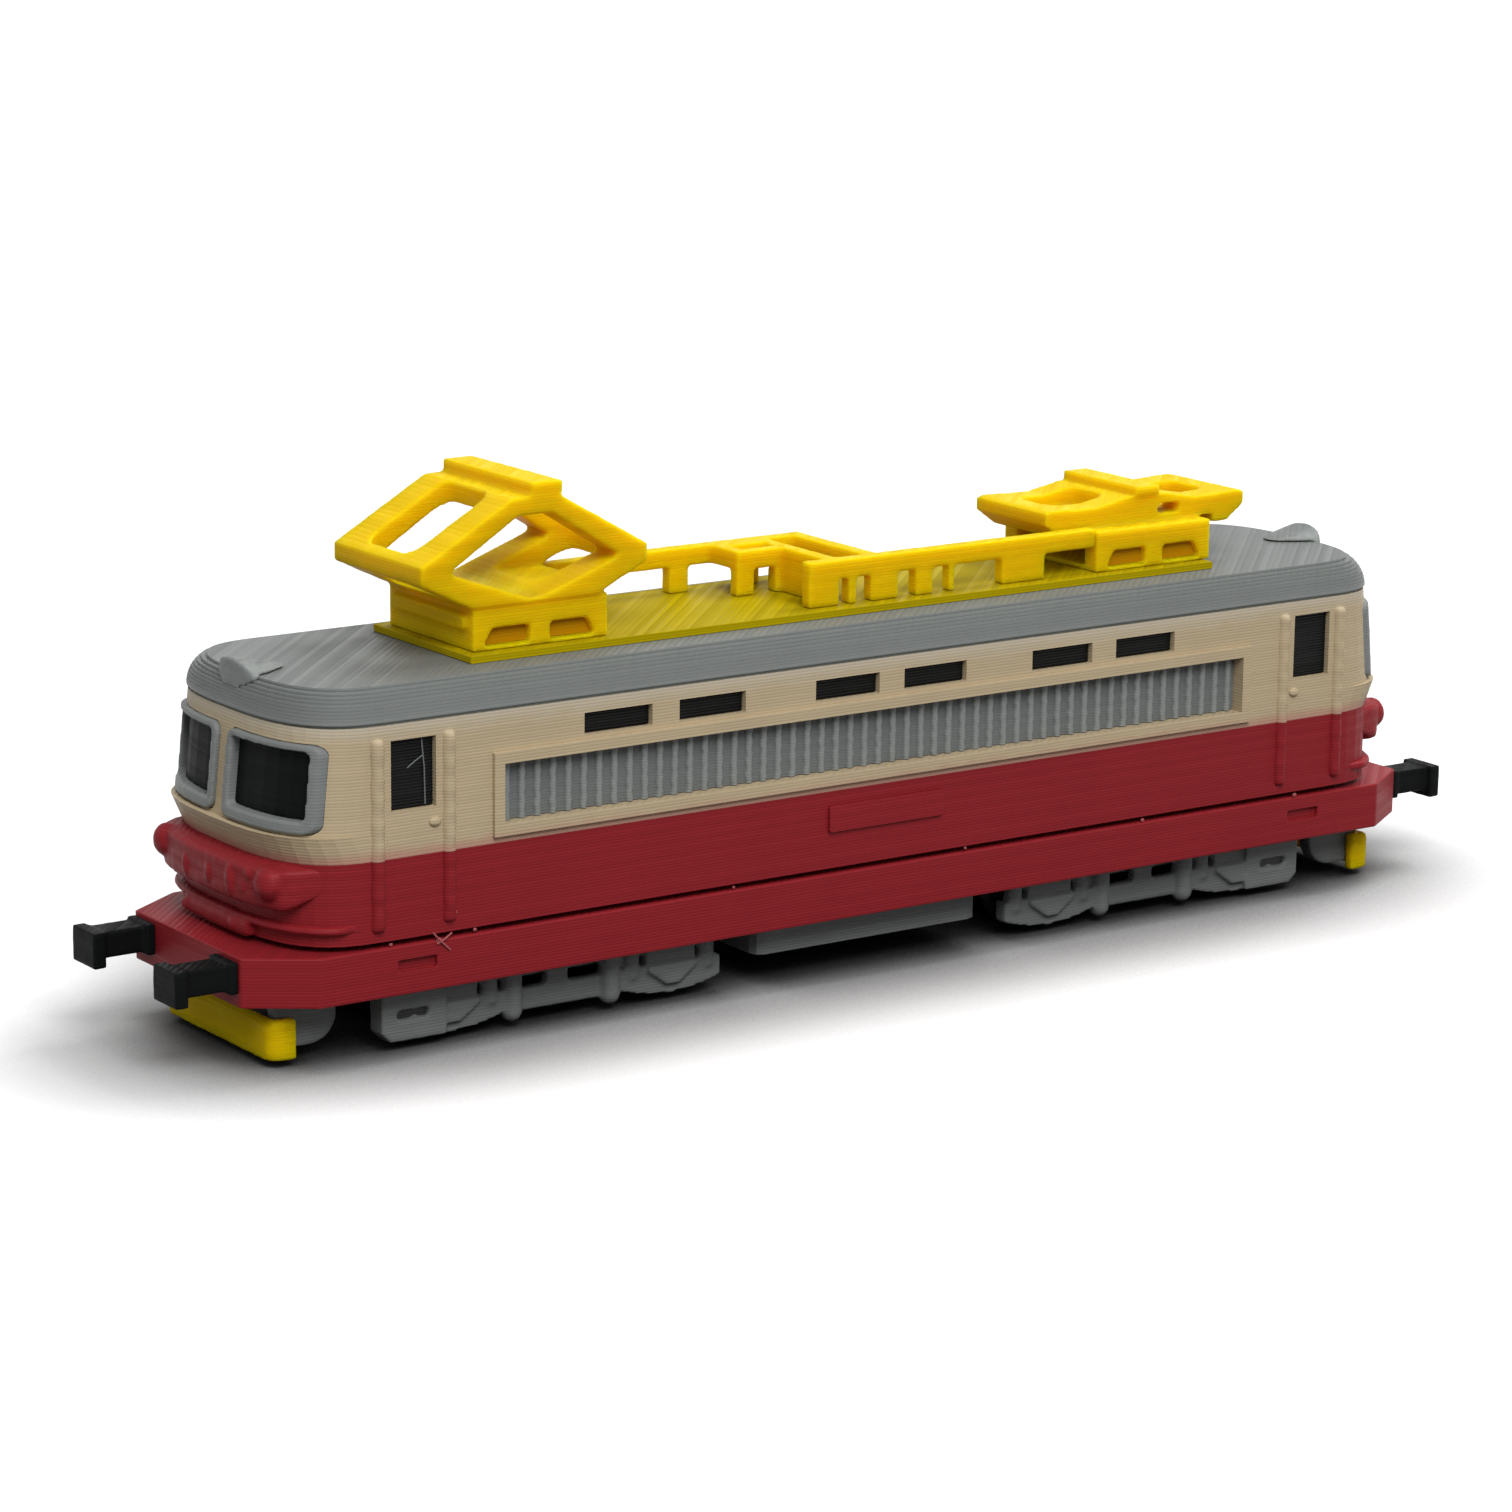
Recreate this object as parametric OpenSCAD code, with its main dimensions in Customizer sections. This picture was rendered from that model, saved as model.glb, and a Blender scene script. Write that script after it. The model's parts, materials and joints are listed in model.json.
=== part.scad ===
// Printed scale model of a four-axle electric locomotive, 1:160.
// +X is the front, +Y the left side, Z = 0 the floor under the wheel flanges.

/* [Body] */
// Length of the frame over its two beam faces
frame_l = 94; // [91:0.5:98]
// Width over the body sides
body_w = 18.9; // [17.8:0.1:20]
// Length of the body at its foot, over the two noses
body_l = 89.2; // [87.6:0.2:90]
// Length of the body at the gutter
gutter_l = 87.8; // [86.4:0.2:88.6]
// Thickness of the printed walls
wall = 1.2; // [1:0.1:1.5]
// Length of the rounded nose, from the flat side to its tip
nose_l = 6.4; // [5.6:0.1:7]

/* [Heights] */
// Bottom edge of the frame skirt
skirt_z = 4.3; // [4.2:0.05:4.6]
// Top edge of the frame skirt
frame_top_z = 7.45; // [7.2:0.05:7.6]
// Dark joint between frame and body
joint_gap = 0.4; // [0.2:0.05:0.6]
// Line between the lower and the upper colour
colour_z = 13; // [12.6:0.1:13.6]
// Lower edge of the roof
gutter_z = 21.4; // [21.2:0.1:22.4]
// Height of the roof cap
roof_h = 2.25; // [1.8:0.05:2.8]
// Height of one printed layer, seen as steps on the roof shoulder
layer_h = 0.2; // [0.2:0.05:0.45]

/* [Cab] */
// Middle of the cab door from the centre of the body
door_x = 36.25; // [35.8:0.05:36.6]
// Width of the cab door window
door_window_w = 3.2; // [2.2:0.1:3.4]
// Height of the cab door window
door_window_h = 4.45; // [3.6:0.1:4.8]
// Distance between the two handrails of a cab door
rail_gap = 5.06; // [4.6:0.02:5.4]
// Width of a handrail
rail_w = 0.7; // [0.5:0.05:0.9]
// Height of a windscreen frame
screen_h = 5.5; // [5:0.1:6]
// Width of a windscreen frame, across the nose
screen_w = 7.9; // [7.4:0.1:8.2]
// Width of the pillar between the two windscreen frames
pillar_w = 1.3; // [1:0.1:1.8]
// Width of the rim of a windscreen frame
screen_rim = 0.6; // [0.5:0.05:1]

/* [Sides] */
// Length of the louvre panel
louvre_l = 59.7; // [54:0.1:60]
// Height of the louvre panel
louvre_h = 3.85; // [3.4:0.05:4]
// Number of louvre ribs
louvre_ribs = 52; // [20:1:56]
// Width of an upper side window
side_window_w = 5.1; // [4:0.1:5.4]
// Height of an upper side window
side_window_h = 1.4; // [1:0.05:1.6]

/* [Buffers] */
// Distance between the middles of two buffers
buffer_gap = 10.7; // [9.8:0.1:11]
// Length of a buffer, from the beam to its face
buffer_l = 4.4; // [3.8:0.1:5]
// Width of a buffer head
buffer_w = 3; // [2.4:0.1:3.4]
// Height of a buffer head
buffer_h = 2.3; // [1.7:0.1:2.4]
// Height of the middle of a buffer
buffer_z = 6.0; // [5.8:0.05:6.2]

/* [Running gear] */
// Distance between the two bogie pivots
pivot_gap = 47.66; // [46.6:0.02:48.4]
// Distance between the axles of a bogie
wheelbase = 16.5; // [15.8:0.1:17]
// Radius of a wheel over its flange
flange_r = 4; // [3.8:0.05:4.1]
// Radius of a wheel on its tread
tread_r = 3.55; // [3.3:0.05:3.7]
// Distance between the backs of two wheels
back_gap = 7.4; // [7.2:0.1:7.6]
// Width of a wheel with its flange
wheel_w = 1.9; // [1.7:0.05:2]
// Radius of an axle
axle_r = 0.75; // [0.6:0.05:0.9]
// Radial clearance of an axle or of a pivot pin in its bore
run_gap = 0.12; // [0.08:0.01:0.2]
// Radius of the pivot pin of a bogie
pin_r = 1.5; // [1.2:0.1:1.8]
// Half the width over the bogie side frames
side_frame_y = 7; // [6.9:0.05:7.2]

/* [Roof gear] */
// Length of the roof plate that carries the pantographs
plate_l = 60; // [59.6:0.2:64]
// Width of the roof plate
plate_w = 12; // [11:0.1:13]
// Distance between the middles of the two pantograph bases
panto_gap = 49.8; // [49:0.1:50]
// Length of a pantograph base
base_l = 10; // [9.4:0.1:10.2]
// Width of a pantograph base
base_w = 9.4; // [8.8:0.1:10.4]
// Height of a pantograph base
base_h = 2.85; // [2.4:0.05:3.2]
// Half the length of the raised pantograph over its knees
knee_x = 8.35; // [7.6:0.05:8.8]
// Width of the arms of the raised pantograph
arm_w = 10.8; // [10.4:0.1:11.6]
// Half the length of the lowered pantograph over its knees
low_knee_x = 8.75; // [8:0.05:9.2]
// Width of the arms of the lowered pantograph
low_arm_w = 7.8; // [7:0.1:8]
// Thickness of the pantograph arms, measured upright
arm_t = 1.15; // [0.9:0.05:1.3]
// Height of the knees of the raised pantograph above its base
knee_up = 2.9; // [2.5:0.1:3.4]
// Height of the ridge of the raised pantograph above its base
ridge_up = 6.7; // [6.2:0.1:7.2]
// Height of the knees of the lowered pantograph above its base
knee_down = 1.5; // [1.2:0.1:1.7]
// Height of the ridge of the lowered pantograph above its base
ridge_down = 1.9; // [1.8:0.1:2.4]

/* [Hidden] */
$fn = 48;

half_w = body_w / 2;
beam_x = frame_l / 2;
body_z = frame_top_z + joint_gap;
roof_z = gutter_z + roof_h;
fit = 0.05;                            // gap between pieces that are pushed together
seat = 0.01;                           // gap between faces that rest on each other
frame_half_w = half_w + 0.05;          // the frame stands this little proud of the body
beam_half_w = 6.8;
beam_chamfer = 4.1;
liner_w = wall / 2;                    // upstand of the frame inside the body
deck_z = 8.5;                          // underside of the floor over the wheels
deck_t = 0.9;
axle_z = flange_r;
axle_x = wheelbase / 2;
pivot_x = pivot_gap / 2;
sill_z = colour_z + 1.75;              // ledge under the windscreens
sill_out = 0.65;
screen_z = sill_z + 0.15;
screen_out = 0.35;                     // how far a windscreen frame stands proud
screen_depth = 0.9;
glass_in = 0.3;                        // how far the glass lies behind its frame
door_window_z = colour_z + 2.95;
louvre_z = colour_z + 1.2;
side_window_z = gutter_z - 2.3;
side_window_x = [3.55, 14.15, 21.3];
recess = 0.35;                         // how deep windows and louvres lie
insert_t = 0.5;                        // thickness of the windows and louvre panels
border_w = 0.75;                       // raised border round a louvre panel
border_out = 0.3;
plate_t = 0.5;
plate_top_z = roof_z + plate_t;
base_top_z = plate_top_z + base_h;
tower_half_w = 3.2;
tower_half_l = axle_x + 2.6;
tower_z = 2.4;
side_frame_t = 1.1;
post_x = 3.7;
post_r = 0.72;
post_z = 0.4;
plough_x = beam_x - 2;
plough_z = 0.5;
plough_half_w = 6.9;
eps = 0.01;

// ---------- outlines ----------

// One rounded nose: a superellipse from the flat side to the tip
function nose_arc(tip, half, depth, steps = 10, power = 3) =
    [for (i = [-steps:steps])
        let (a = 90 * i / steps)
        [tip - depth + depth * pow(cos(a), 2 / power),
         half * sign(i) * pow(abs(sin(a)), 2 / power)]];

// Plan of the body with both noses
module body_plan(length, half, depth = nose_l)
    polygon(concat(nose_arc(length / 2, half, depth),
                   [for (p = nose_arc(length / 2, half, depth)) [-p[0], -p[1]]]));

// Upright solid of the body between two heights
module body_solid(z0, z1, length, half, depth = nose_l)
    translate([0, 0, z0])
        linear_extrude(z1 - z0)
            body_plan(length, half, depth);

// Solid of the body whose noses lean from one length to another
module leaning_solid(z0, z1, l0, l1, half, depth = nose_l)
    translate([0, 0, z0])
        linear_extrude(z1 - z0, scale = [l1 / l0, 1], slices = 1)
            body_plan(l0, half, depth);

// Upright wall of the body between two heights
module body_ring(z0, z1, length)
    difference() {
        body_solid(z0, z1, length, half_w);
        body_solid(z0 - eps, z1 + eps, length - 2 * wall, half_w - wall, nose_l - wall / 2);
    }

// A box given by its middle in X and Y, and its foot
module block(size, at)
    translate([at[0] - size[0] / 2, at[1] - size[1] / 2, at[2]])
        cube(size);

// Rounded rectangle in the YZ plane, run along X from x0 to x1
module rounded_window(y0, y1, z0, z1, r, x0, x1)
    translate([x0, 0, 0])
        rotate([90, 0, 90])
            linear_extrude(x1 - x0)
                rounded_rect(y0, y1, z0, z1, r);

module rounded_rect(x0, x1, y0, y1, r) {
    translate([x0 + r, y0])
        square([x1 - x0 - 2 * r, y1 - y0]);
    translate([x0, y0 + r])
        square([x1 - x0, y1 - y0 - 2 * r]);
    for (x = [x0 + r, x1 - r], y = [y0 + r, y1 - r])
        translate([x, y])
            circle(r, $fn = 24);
}

// Draws its children at the front, and again turned round to the rear
module at_both_ends() {
    children();
    rotate([0, 0, 180])
        children();
}

module at_rear()
    rotate([0, 0, 180])
        children();

// Draws its children on the left and mirrored on the right
module on_both_sides() {
    children();
    mirror([0, 1, 0])
        children();
}

// ---------- frame ----------

// Corner points of the frame's plan, in order round it
frame_corners = [
    [beam_x, -beam_half_w], [beam_x, beam_half_w],
    [beam_x - beam_chamfer, frame_half_w], [-beam_x + beam_chamfer, frame_half_w],
    [-beam_x, beam_half_w], [-beam_x, -beam_half_w],
    [-beam_x + beam_chamfer, -frame_half_w], [beam_x - beam_chamfer, -frame_half_w]];

well_l = 2 * (beam_x - beam_chamfer - wall);    // open length inside the skirt
lower_l = body_l - 0.3;
ledge_t = 0.8;                         // thickness of the ledge inside the skirt
upstand_l = lower_l - 2 * (nose_l + wall / 2 + fit);
upstand_half_w = half_w - wall - fit;
bolster_l = 7;                         // length of the cross member over a bogie
battery_gap = 2.48;                    // from the battery box to the wheels of a bogie
battery_l = pivot_gap - 2 * (axle_x + flange_r + battery_gap);

module upstand_hole()
    block([upstand_l - 2 * liner_w, 2 * (upstand_half_w - liner_w), 2 * deck_z], [0, 0, 0]);

module underframe()
    color([0.55, 0.11, 0.14])
        difference() {
            union() {
                difference() {
                    translate([0, 0, skirt_z])
                        linear_extrude(frame_top_z - skirt_z)
                            polygon(frame_corners);
                    block([well_l, 2 * (frame_half_w - wall), deck_z],
                          [0, 0, skirt_z - 1]);
                }
                // upstand inside the body, and the ledge that carries it
                difference() {
                    union() {
                        block([upstand_l, 2 * upstand_half_w, deck_z + deck_t - frame_top_z + ledge_t],
                              [0, 0, frame_top_z - ledge_t]);
                        block([well_l + 2 * eps, 2 * (frame_half_w - wall + eps), ledge_t],
                              [0, 0, frame_top_z - ledge_t]);
                    }
                    upstand_hole();
                }
                // cross members over the bogies and over the battery box
                for (member = [[-pivot_x, bolster_l], [0, battery_l], [pivot_x, bolster_l]])
                    block([member[1], 2 * upstand_half_w - liner_w, deck_t], [member[0], 0, deck_z]);
                // raised seat at each end of the body
                at_both_ends()
                    block([2, 10, joint_gap + eps], [beam_x - beam_chamfer - 1.2, 0, frame_top_z - eps]);
            }
            // step slots under the cab doors
            for (side = [-1, 1], end = [-1, 1])
                block([2.75, 0.8, 0.8], [end * (door_x - 0.25), side * frame_half_w, 5.73]);
            // bores of the pivot pins
            at_both_ends()
                translate([pivot_x, 0, deck_z - eps])
                    cylinder(r = pin_r + run_gap, h = deck_t + 2 * eps);
        }

// ---------- body ----------

nose_band_z = 10.25;
band_out = 1.1;                        // how far the lamp band stands proud of the nose

module lower_body()
    color([0.55, 0.11, 0.14]) {
        body_ring(body_z, colour_z, lower_l);
        at_both_ends() {
            nose_band(nose_band_z, colour_z - 0.45, band_out, 6.9);
            nose_band(body_z + 0.9, body_z + 1.2, 0.45, half_w);
            nose_band(body_z, body_z + 0.91, 0.55, 3.7);
        }
    }

// A band that stands proud of the nose over part of its width
module nose_band(z0, z1, out, half)
    intersection() {
        difference() {
            body_solid(z0, z1, lower_l + 2 * out, half_w, nose_l + out / 2);
            body_solid(z0 - 1, z1 + 1, lower_l - wall, half_w - wall / 2, nose_l);
        }
        block([nose_l + 2, 2 * half, z1], [body_l / 2 - nose_l / 2 + 1, 0, 0]);
    }

module upper_body()
    color([0.85, 0.78, 0.64])
        difference() {
            union() {
                difference() {
                    leaning_solid(colour_z + seat, sill_z, lower_l, body_l + 2 * sill_out, half_w);
                    body_solid(colour_z, sill_z + eps, body_l - 2 * wall, half_w - wall, nose_l - wall / 2);
                }
                difference() {
                    leaning_solid(sill_z - seat, gutter_z, body_l, gutter_l, half_w);
                    leaning_solid(sill_z - 2 * seat, gutter_z + eps, body_l - 2 * wall, gutter_l - 2 * wall,
                                  half_w - wall, nose_l - wall / 2);
                }
                on_both_sides()
                    louvre_border();
            }
            at_both_ends() {
                on_both_sides()
                    screen_opening();
                on_both_sides()
                    side_opening(door_x, door_window_w, door_window_z, door_window_h);
                on_both_sides()
                    for (x = side_window_x)
                        side_opening(x, side_window_w, side_window_z, side_window_h);
            }
            on_both_sides()
                side_opening(0, louvre_l, louvre_z, louvre_h);
        }

// Cut through the side wall
module side_opening(x, w, z, h)
    block([w, 3 * wall, h], [x, half_w, z]);

module louvre_border()
    difference() {
        block([louvre_l + 2 * border_w, 2 * border_out, louvre_h + 2 * border_w],
              [0, half_w, louvre_z - border_w]);
        block([louvre_l, 4 * border_out, louvre_h], [0, half_w, louvre_z]);
    }

screen_y0 = pillar_w / 2;
screen_y1 = screen_y0 + screen_w;
glass_z0 = screen_z + screen_rim + 0.2;         // the lower rim is wider than the upper one
glass_z1 = screen_z + screen_h - screen_rim + 0.2;

module screen_opening()
    rounded_window(screen_y0 - fit, screen_y1 + fit, screen_z - fit, screen_z + screen_h + fit, 0.7,
                   body_l / 2 - nose_l, body_l / 2 + 2);

// Curved slab of the nose, from `back` behind the body face to `out` in front of it
module nose_slab(out, back)
    difference() {
        leaning_solid(sill_z + 0.02, gutter_z - 0.02, body_l + 2 * out, gutter_l + 2 * out,
                      half_w + out / 2, nose_l + out / 2);
        leaning_solid(sill_z - eps, gutter_z + eps, body_l - 2 * back, gutter_l - 2 * back,
                      half_w - back, nose_l - back / 2);
    }

module windscreen_frame()
    intersection() {
        nose_slab(screen_out, screen_depth);
        difference() {
            rounded_window(screen_y0, screen_y1, screen_z, screen_z + screen_h, 0.7,
                           body_l / 2 - nose_l, body_l / 2 + 2);
            rounded_window(screen_y0 + screen_rim, screen_y1 - screen_rim, glass_z0, glass_z1, 0.25,
                           body_l / 2 - nose_l - 1, body_l / 2 + 3);
        }
    }

module windscreen_frames()
    color([0.62, 0.64, 0.64])
        on_both_sides()
            windscreen_frame();

module windscreens()
    color([0.1, 0.11, 0.11])
        on_both_sides()
            intersection() {
                nose_slab(-glass_in, screen_depth);
                rounded_window(screen_y0 + screen_rim + fit, screen_y1 - screen_rim - fit,
                               glass_z0 + fit, glass_z1 - fit, 0.2, body_l / 2 - nose_l, body_l / 2 + 2);
            }

module windscreen_frames_front() windscreen_frames();
module windscreen_frames_rear() at_rear() windscreen_frames();
module windscreens_front() windscreens();
module windscreens_rear() at_rear() windscreens();

// Flat insert in a side opening
module side_insert(x, w, z, h)
    block([w - 2 * fit, insert_t, h - 2 * fit], [x, half_w - recess - insert_t / 2, z + fit]);

module door_windows()
    color([0.1, 0.11, 0.11])
        at_both_ends()
            on_both_sides()
                side_insert(door_x, door_window_w, door_window_z, door_window_h);

module side_windows()
    color([0.1, 0.11, 0.11])
        at_both_ends()
            on_both_sides()
                for (x = side_window_x)
                    side_insert(x, side_window_w, side_window_z, side_window_h);

rib_pitch = louvre_l / louvre_ribs;

module louvres()
    color([0.52, 0.54, 0.53])
        on_both_sides() {
            side_insert(0, louvre_l, louvre_z, louvre_h);
            for (i = [0:louvre_ribs - 1])
                block([rib_pitch * 0.4, 0.4, louvre_h - 2 * fit],
                      [-louvre_l / 2 + rib_pitch * (i + 0.5), half_w - recess, louvre_z + fit]);
        }

module nameplates()
    color([0.55, 0.11, 0.14])
        on_both_sides()
            block([9.2, 0.25, 1.75], [0.4, half_w + 0.125 + seat, 10.3]);

// The two handrails of each cab door, and the small handle between them
module handrails(z0, z1)
    at_both_ends()
        on_both_sides()
            for (x = [door_x - rail_gap / 2, door_x + rail_gap / 2])
                block([rail_w, 0.55, z1 - z0], [x, half_w + 0.275 + seat, z0]);

module handrails_upper()
    color([0.85, 0.78, 0.64]) {
        handrails(colour_z + seat, gutter_z - 0.75);
        at_both_ends()
            on_both_sides()
                block([0.7, 0.35, 0.6], [door_x - 1.5, half_w + 0.175 + seat, colour_z + 1.9]);
    }

module handrails_lower()
    color([0.55, 0.11, 0.14])
        handrails(body_z + 0.6, colour_z - seat);

lamp_y = 6.1;
lamp_z = 11.75;
lamp_r = 0.95;
lamp_out = 0.3;

// Round lamps at both ends of the lamp band
module nose_lamps()
    color([0.55, 0.11, 0.14])
        on_both_sides()
            difference() {
                translate([lower_l / 2 - 1.5, lamp_y, lamp_z])
                    rotate([0, 90, 0])
                        cylinder(r = lamp_r, h = lamp_out + 2.3);
                body_solid(colour_z - 5, colour_z, lower_l + 2 * (band_out + seat), half_w + seat,
                           nose_l + band_out / 2);
            }

module nose_lamps_front() nose_lamps();
module nose_lamps_rear() at_rear() nose_lamps();

// ---------- roof ----------

roof_layers = ceil(roof_h / layer_h);
shoulder_w = 2.1;                      // how far the roof shoulder rounds inwards
shoulder_l = 1.8;                      // how far the roof ends round inwards

// Inset of the roof's edge at a share of its height: a quarter ellipse
function shoulder(share) = 1 - sqrt(max(0, 1 - share * share));

module roof()
    color([0.55, 0.57, 0.56])
        difference() {
            for (i = [0:roof_layers - 1]) {
                share = i / roof_layers;
                translate([0, 0, gutter_z + seat + i * roof_h / roof_layers])
                    linear_extrude(roof_h / roof_layers + (i < roof_layers - 1 ? eps : -seat))
                        body_plan(gutter_l - 2 * shoulder_l * shoulder(share) + 0.2,
                                  half_w - shoulder_w * shoulder(share) + 0.05,
                                  nose_l - 0.6 * shoulder(share));
            }
            body_solid(gutter_z - 1, roof_z - wall, gutter_l - 2 * shoulder_l, half_w - 2 * wall,
                       nose_l - wall / 2);
        }

fairing_x = gutter_l / 2 - 0.1;
fairing_l = 4.5;
fairing_half_w = 2.4;
fairing_up = 1;                        // how far its front stands above the roof

// Headlight housing: a pointed tail that rises and widens to a blunt rounded front
module headlight_fairing()
    color([0.55, 0.57, 0.56])
        difference() {
            intersection() {
                translate([0, 0, gutter_z + 0.2])
                    linear_extrude(roof_h + fairing_up)
                        polygon(concat([[fairing_x - fairing_l, 0.15], [fairing_x - fairing_l, -0.15]],
                                       [for (i = [-6:6])
                                           let (a = 15 * i)
                                           [fairing_x - 1 + cos(a), fairing_half_w * sin(a)]]));
                translate([fairing_x, 0, roof_z + fairing_up])
                    rotate([0, -atan(fairing_up / fairing_l), 0])
                        rotate([90, 0, -90])
                            linear_extrude(3 * fairing_l, center = true)
                                polygon(concat([[-3, -8], [-3, -1.7]],
                                               [for (i = [-6:6])
                                                   let (a = 15 * i)
                                                   [2.6 * sin(a), 1.6 * cos(a) - 1.6]],
                                               [[3, -1.7], [3, -8]]));
            }
            translate([0, 0, seat])
                roof_envelope();
        }

// Space that the roof fills, used to seat what stands on it
module roof_envelope()
    for (i = [0:roof_layers - 1]) {
        share = i / roof_layers;
        translate([0, 0, i == 0 ? gutter_z - 1 : gutter_z + i * roof_h / roof_layers])
            linear_extrude((i == 0 ? 1 : 0) + roof_h / roof_layers + eps)
                body_plan(gutter_l - 2 * shoulder_l * shoulder(share) + 0.2,
                          half_w - shoulder_w * shoulder(share) + 0.05,
                          nose_l - 0.6 * shoulder(share));
    }

module headlight_fairing_front() headlight_fairing();
module headlight_fairing_rear() at_rear() headlight_fairing();

// ---------- buffers and ploughs ----------

shank_w = 2.1;
shank_h = 1.7;
head_plate_t = 0.9;

// Buffer: a shank level with the top of its head plate
module buffer(side)
    color([0.1, 0.1, 0.1])
        translate([beam_x + seat, side * buffer_gap / 2, buffer_z + buffer_h / 2]) {
            block([buffer_l - head_plate_t / 2, shank_w, shank_h],
                  [(buffer_l - head_plate_t / 2) / 2, 0, -shank_h - 0.1]);
            block([0.6, shank_w + 0.6, shank_h + 0.3], [0.3, 0, -shank_h - 0.25]);
            block([head_plate_t, buffer_w, buffer_h], [buffer_l - head_plate_t / 2 - seat, 0, -buffer_h]);
        }

module buffer_front_left() buffer(1);
module buffer_front_right() buffer(-1);
module buffer_rear_left() at_rear() buffer(-1);
module buffer_rear_right() at_rear() buffer(1);

plough_corner = 0.9;
plough_h = 2.6;
plough_t = 0.8;
cheek_l = 1.9;

// Plan of the blade: straight across, rounded into two short cheeks
module plough_outline(inset, back)
    polygon(concat(
        [[plough_x - back, inset - plough_half_w]],
        [for (i = [0:6])
            let (a = 15 * i - 90)
            [plough_x - plough_corner + (plough_corner - inset) * cos(a),
             plough_corner - plough_half_w + (plough_corner - inset) * sin(a)]],
        [for (i = [0:6])
            let (a = 15 * i)
            [plough_x - plough_corner + (plough_corner - inset) * cos(a),
             plough_half_w - plough_corner + (plough_corner - inset) * sin(a)]],
        [[plough_x - back, plough_half_w - inset]]));

// Bent blade with rounded corners, leaning back at its top
module plough()
    color([0.85, 0.68, 0.05])
        difference() {
            translate([0, 0, plough_z])
                linear_extrude(plough_h)
                    plough_outline(0, cheek_l);
            translate([0, 0, plough_z - 1])
                linear_extrude(plough_h + 2)
                    plough_outline(plough_t, cheek_l + 1);
            // sloping top of the blade
            translate([plough_x + 0.2, 0, plough_z + 1.7])
                rotate([0, -35, 0])
                    block([3, 3 * plough_half_w, 4], [1.5, 0, 0]);
        }

module plough_front() plough();
module plough_rear() at_rear() plough();

bracket_back_x = plough_x - 5.2;
bracket_front_x = plough_x - plough_corner;
bracket_half_w = plough_half_w - plough_t - fit;
bracket_r = 1.9;
bracket_z = plough_z + 0.5;

// Bracket behind the blade: two cheeks with rounded lower corners under a cross plate
module plough_bracket()
    color([0.4, 0.42, 0.41]) {
        on_both_sides()
            translate([0, bracket_half_w, 0])
                rotate([90, 0, 0])
                    linear_extrude(1.2)
                        polygon(concat(
                            [[bracket_front_x, bracket_z], [bracket_front_x, skirt_z - seat],
                             [bracket_back_x, skirt_z - seat]],
                            [for (i = [0:6])
                                let (a = 180 + 15 * i)
                                [bracket_back_x + bracket_r + bracket_r * cos(a),
                                 bracket_z + bracket_r + bracket_r * sin(a)]]));
        block([plough_x - plough_t - fit - bracket_back_x, 2 * (plough_half_w - plough_corner), 0.9],
              [(plough_x - plough_t - fit + bracket_back_x) / 2, 0, skirt_z - 0.9 - seat]);
        block([bracket_front_x - bracket_back_x, 2 * bracket_half_w - 1, 0.9],
              [(bracket_front_x + bracket_back_x) / 2, 0, skirt_z - 0.9 - seat]);
    }

module plough_bracket_front() plough_bracket();
module plough_bracket_rear() at_rear() plough_bracket();

battery_w = 14.6;
battery_z = 1.95;

module battery_box()
    color([0.45, 0.47, 0.46]) {
        block([battery_l, battery_w, skirt_z - battery_z], [0, 0, battery_z]);
        block([battery_l - 2, battery_w - 2, deck_z - skirt_z - seat + eps], [0, 0, skirt_z - eps]);
    }

// ---------- roof gear ----------

module roof_plate()
    color([0.85, 0.68, 0.05])
        block([plate_l, plate_w, plate_t - seat], [0, 0, roof_z + seat]);

rail_t = 1.3;
panto_floor = 0.35;
rib_out = 0.35;

// Window in a side rail: one upright end and one slanted end
module trapezoid_cut(x, slant)
    translate([x, base_w / 2 + 0.5, plate_top_z + 0.25])
        rotate([90, 0, 0])
            linear_extrude(rail_t * 0.5 + 0.5)
                polygon([[-1.7, 0], [1.7, 0],
                         [slant > 0 ? 1.7 : 1.1, 1.15], [slant > 0 ? -1.1 : -1.7, 1.15]]);

// Open tray: two side rails with windows and an outer end wall with a rounded rib
module pantograph_base(x)
    color([0.85, 0.68, 0.05])
        translate([x, 0, 0])
            difference() {
                union() {
                    block([base_l, base_w, base_h - seat], [0, 0, plate_top_z + seat]);
                    translate([base_l / 2 - 0.1, 0, plate_top_z])
                        rounded_window(-4.1, 4.1, 1.35, 2.25, 0.42, 0, rib_out + 0.1);
                }
                block([base_l - rail_t, base_w - 2 * rail_t, base_h + 1],
                      [-rail_t, 0, plate_top_z + panto_floor]);
                on_both_sides() {
                    trapezoid_cut(2.5, -1);
                    trapezoid_cut(-2.4, 1);
                }
            }

front_base_x = panto_gap / 2 - 0.6;
rear_base_x = panto_gap / 2 + 0.5;
front_panto_x = panto_gap / 2 - 0.05;
rear_panto_x = panto_gap / 2 + 0.75;
ridge_half = 1.65;
ridge_t = 1.2;
foot_half = 4.7;
arm_bar = 2.65;                        // width of the two bars of an arm panel

// Side outline of a pantograph between its base and its ridge, heights counted from the base
module diamond_outline(knee_h, ridge_h)
    polygon([[-foot_half, 0], [foot_half, 0],
             [knee_x, knee_h - arm_t], [knee_x, knee_h],
             [ridge_half, ridge_h], [-ridge_half, ridge_h],
             [-knee_x, knee_h], [-knee_x, knee_h - arm_t]]);

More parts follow.
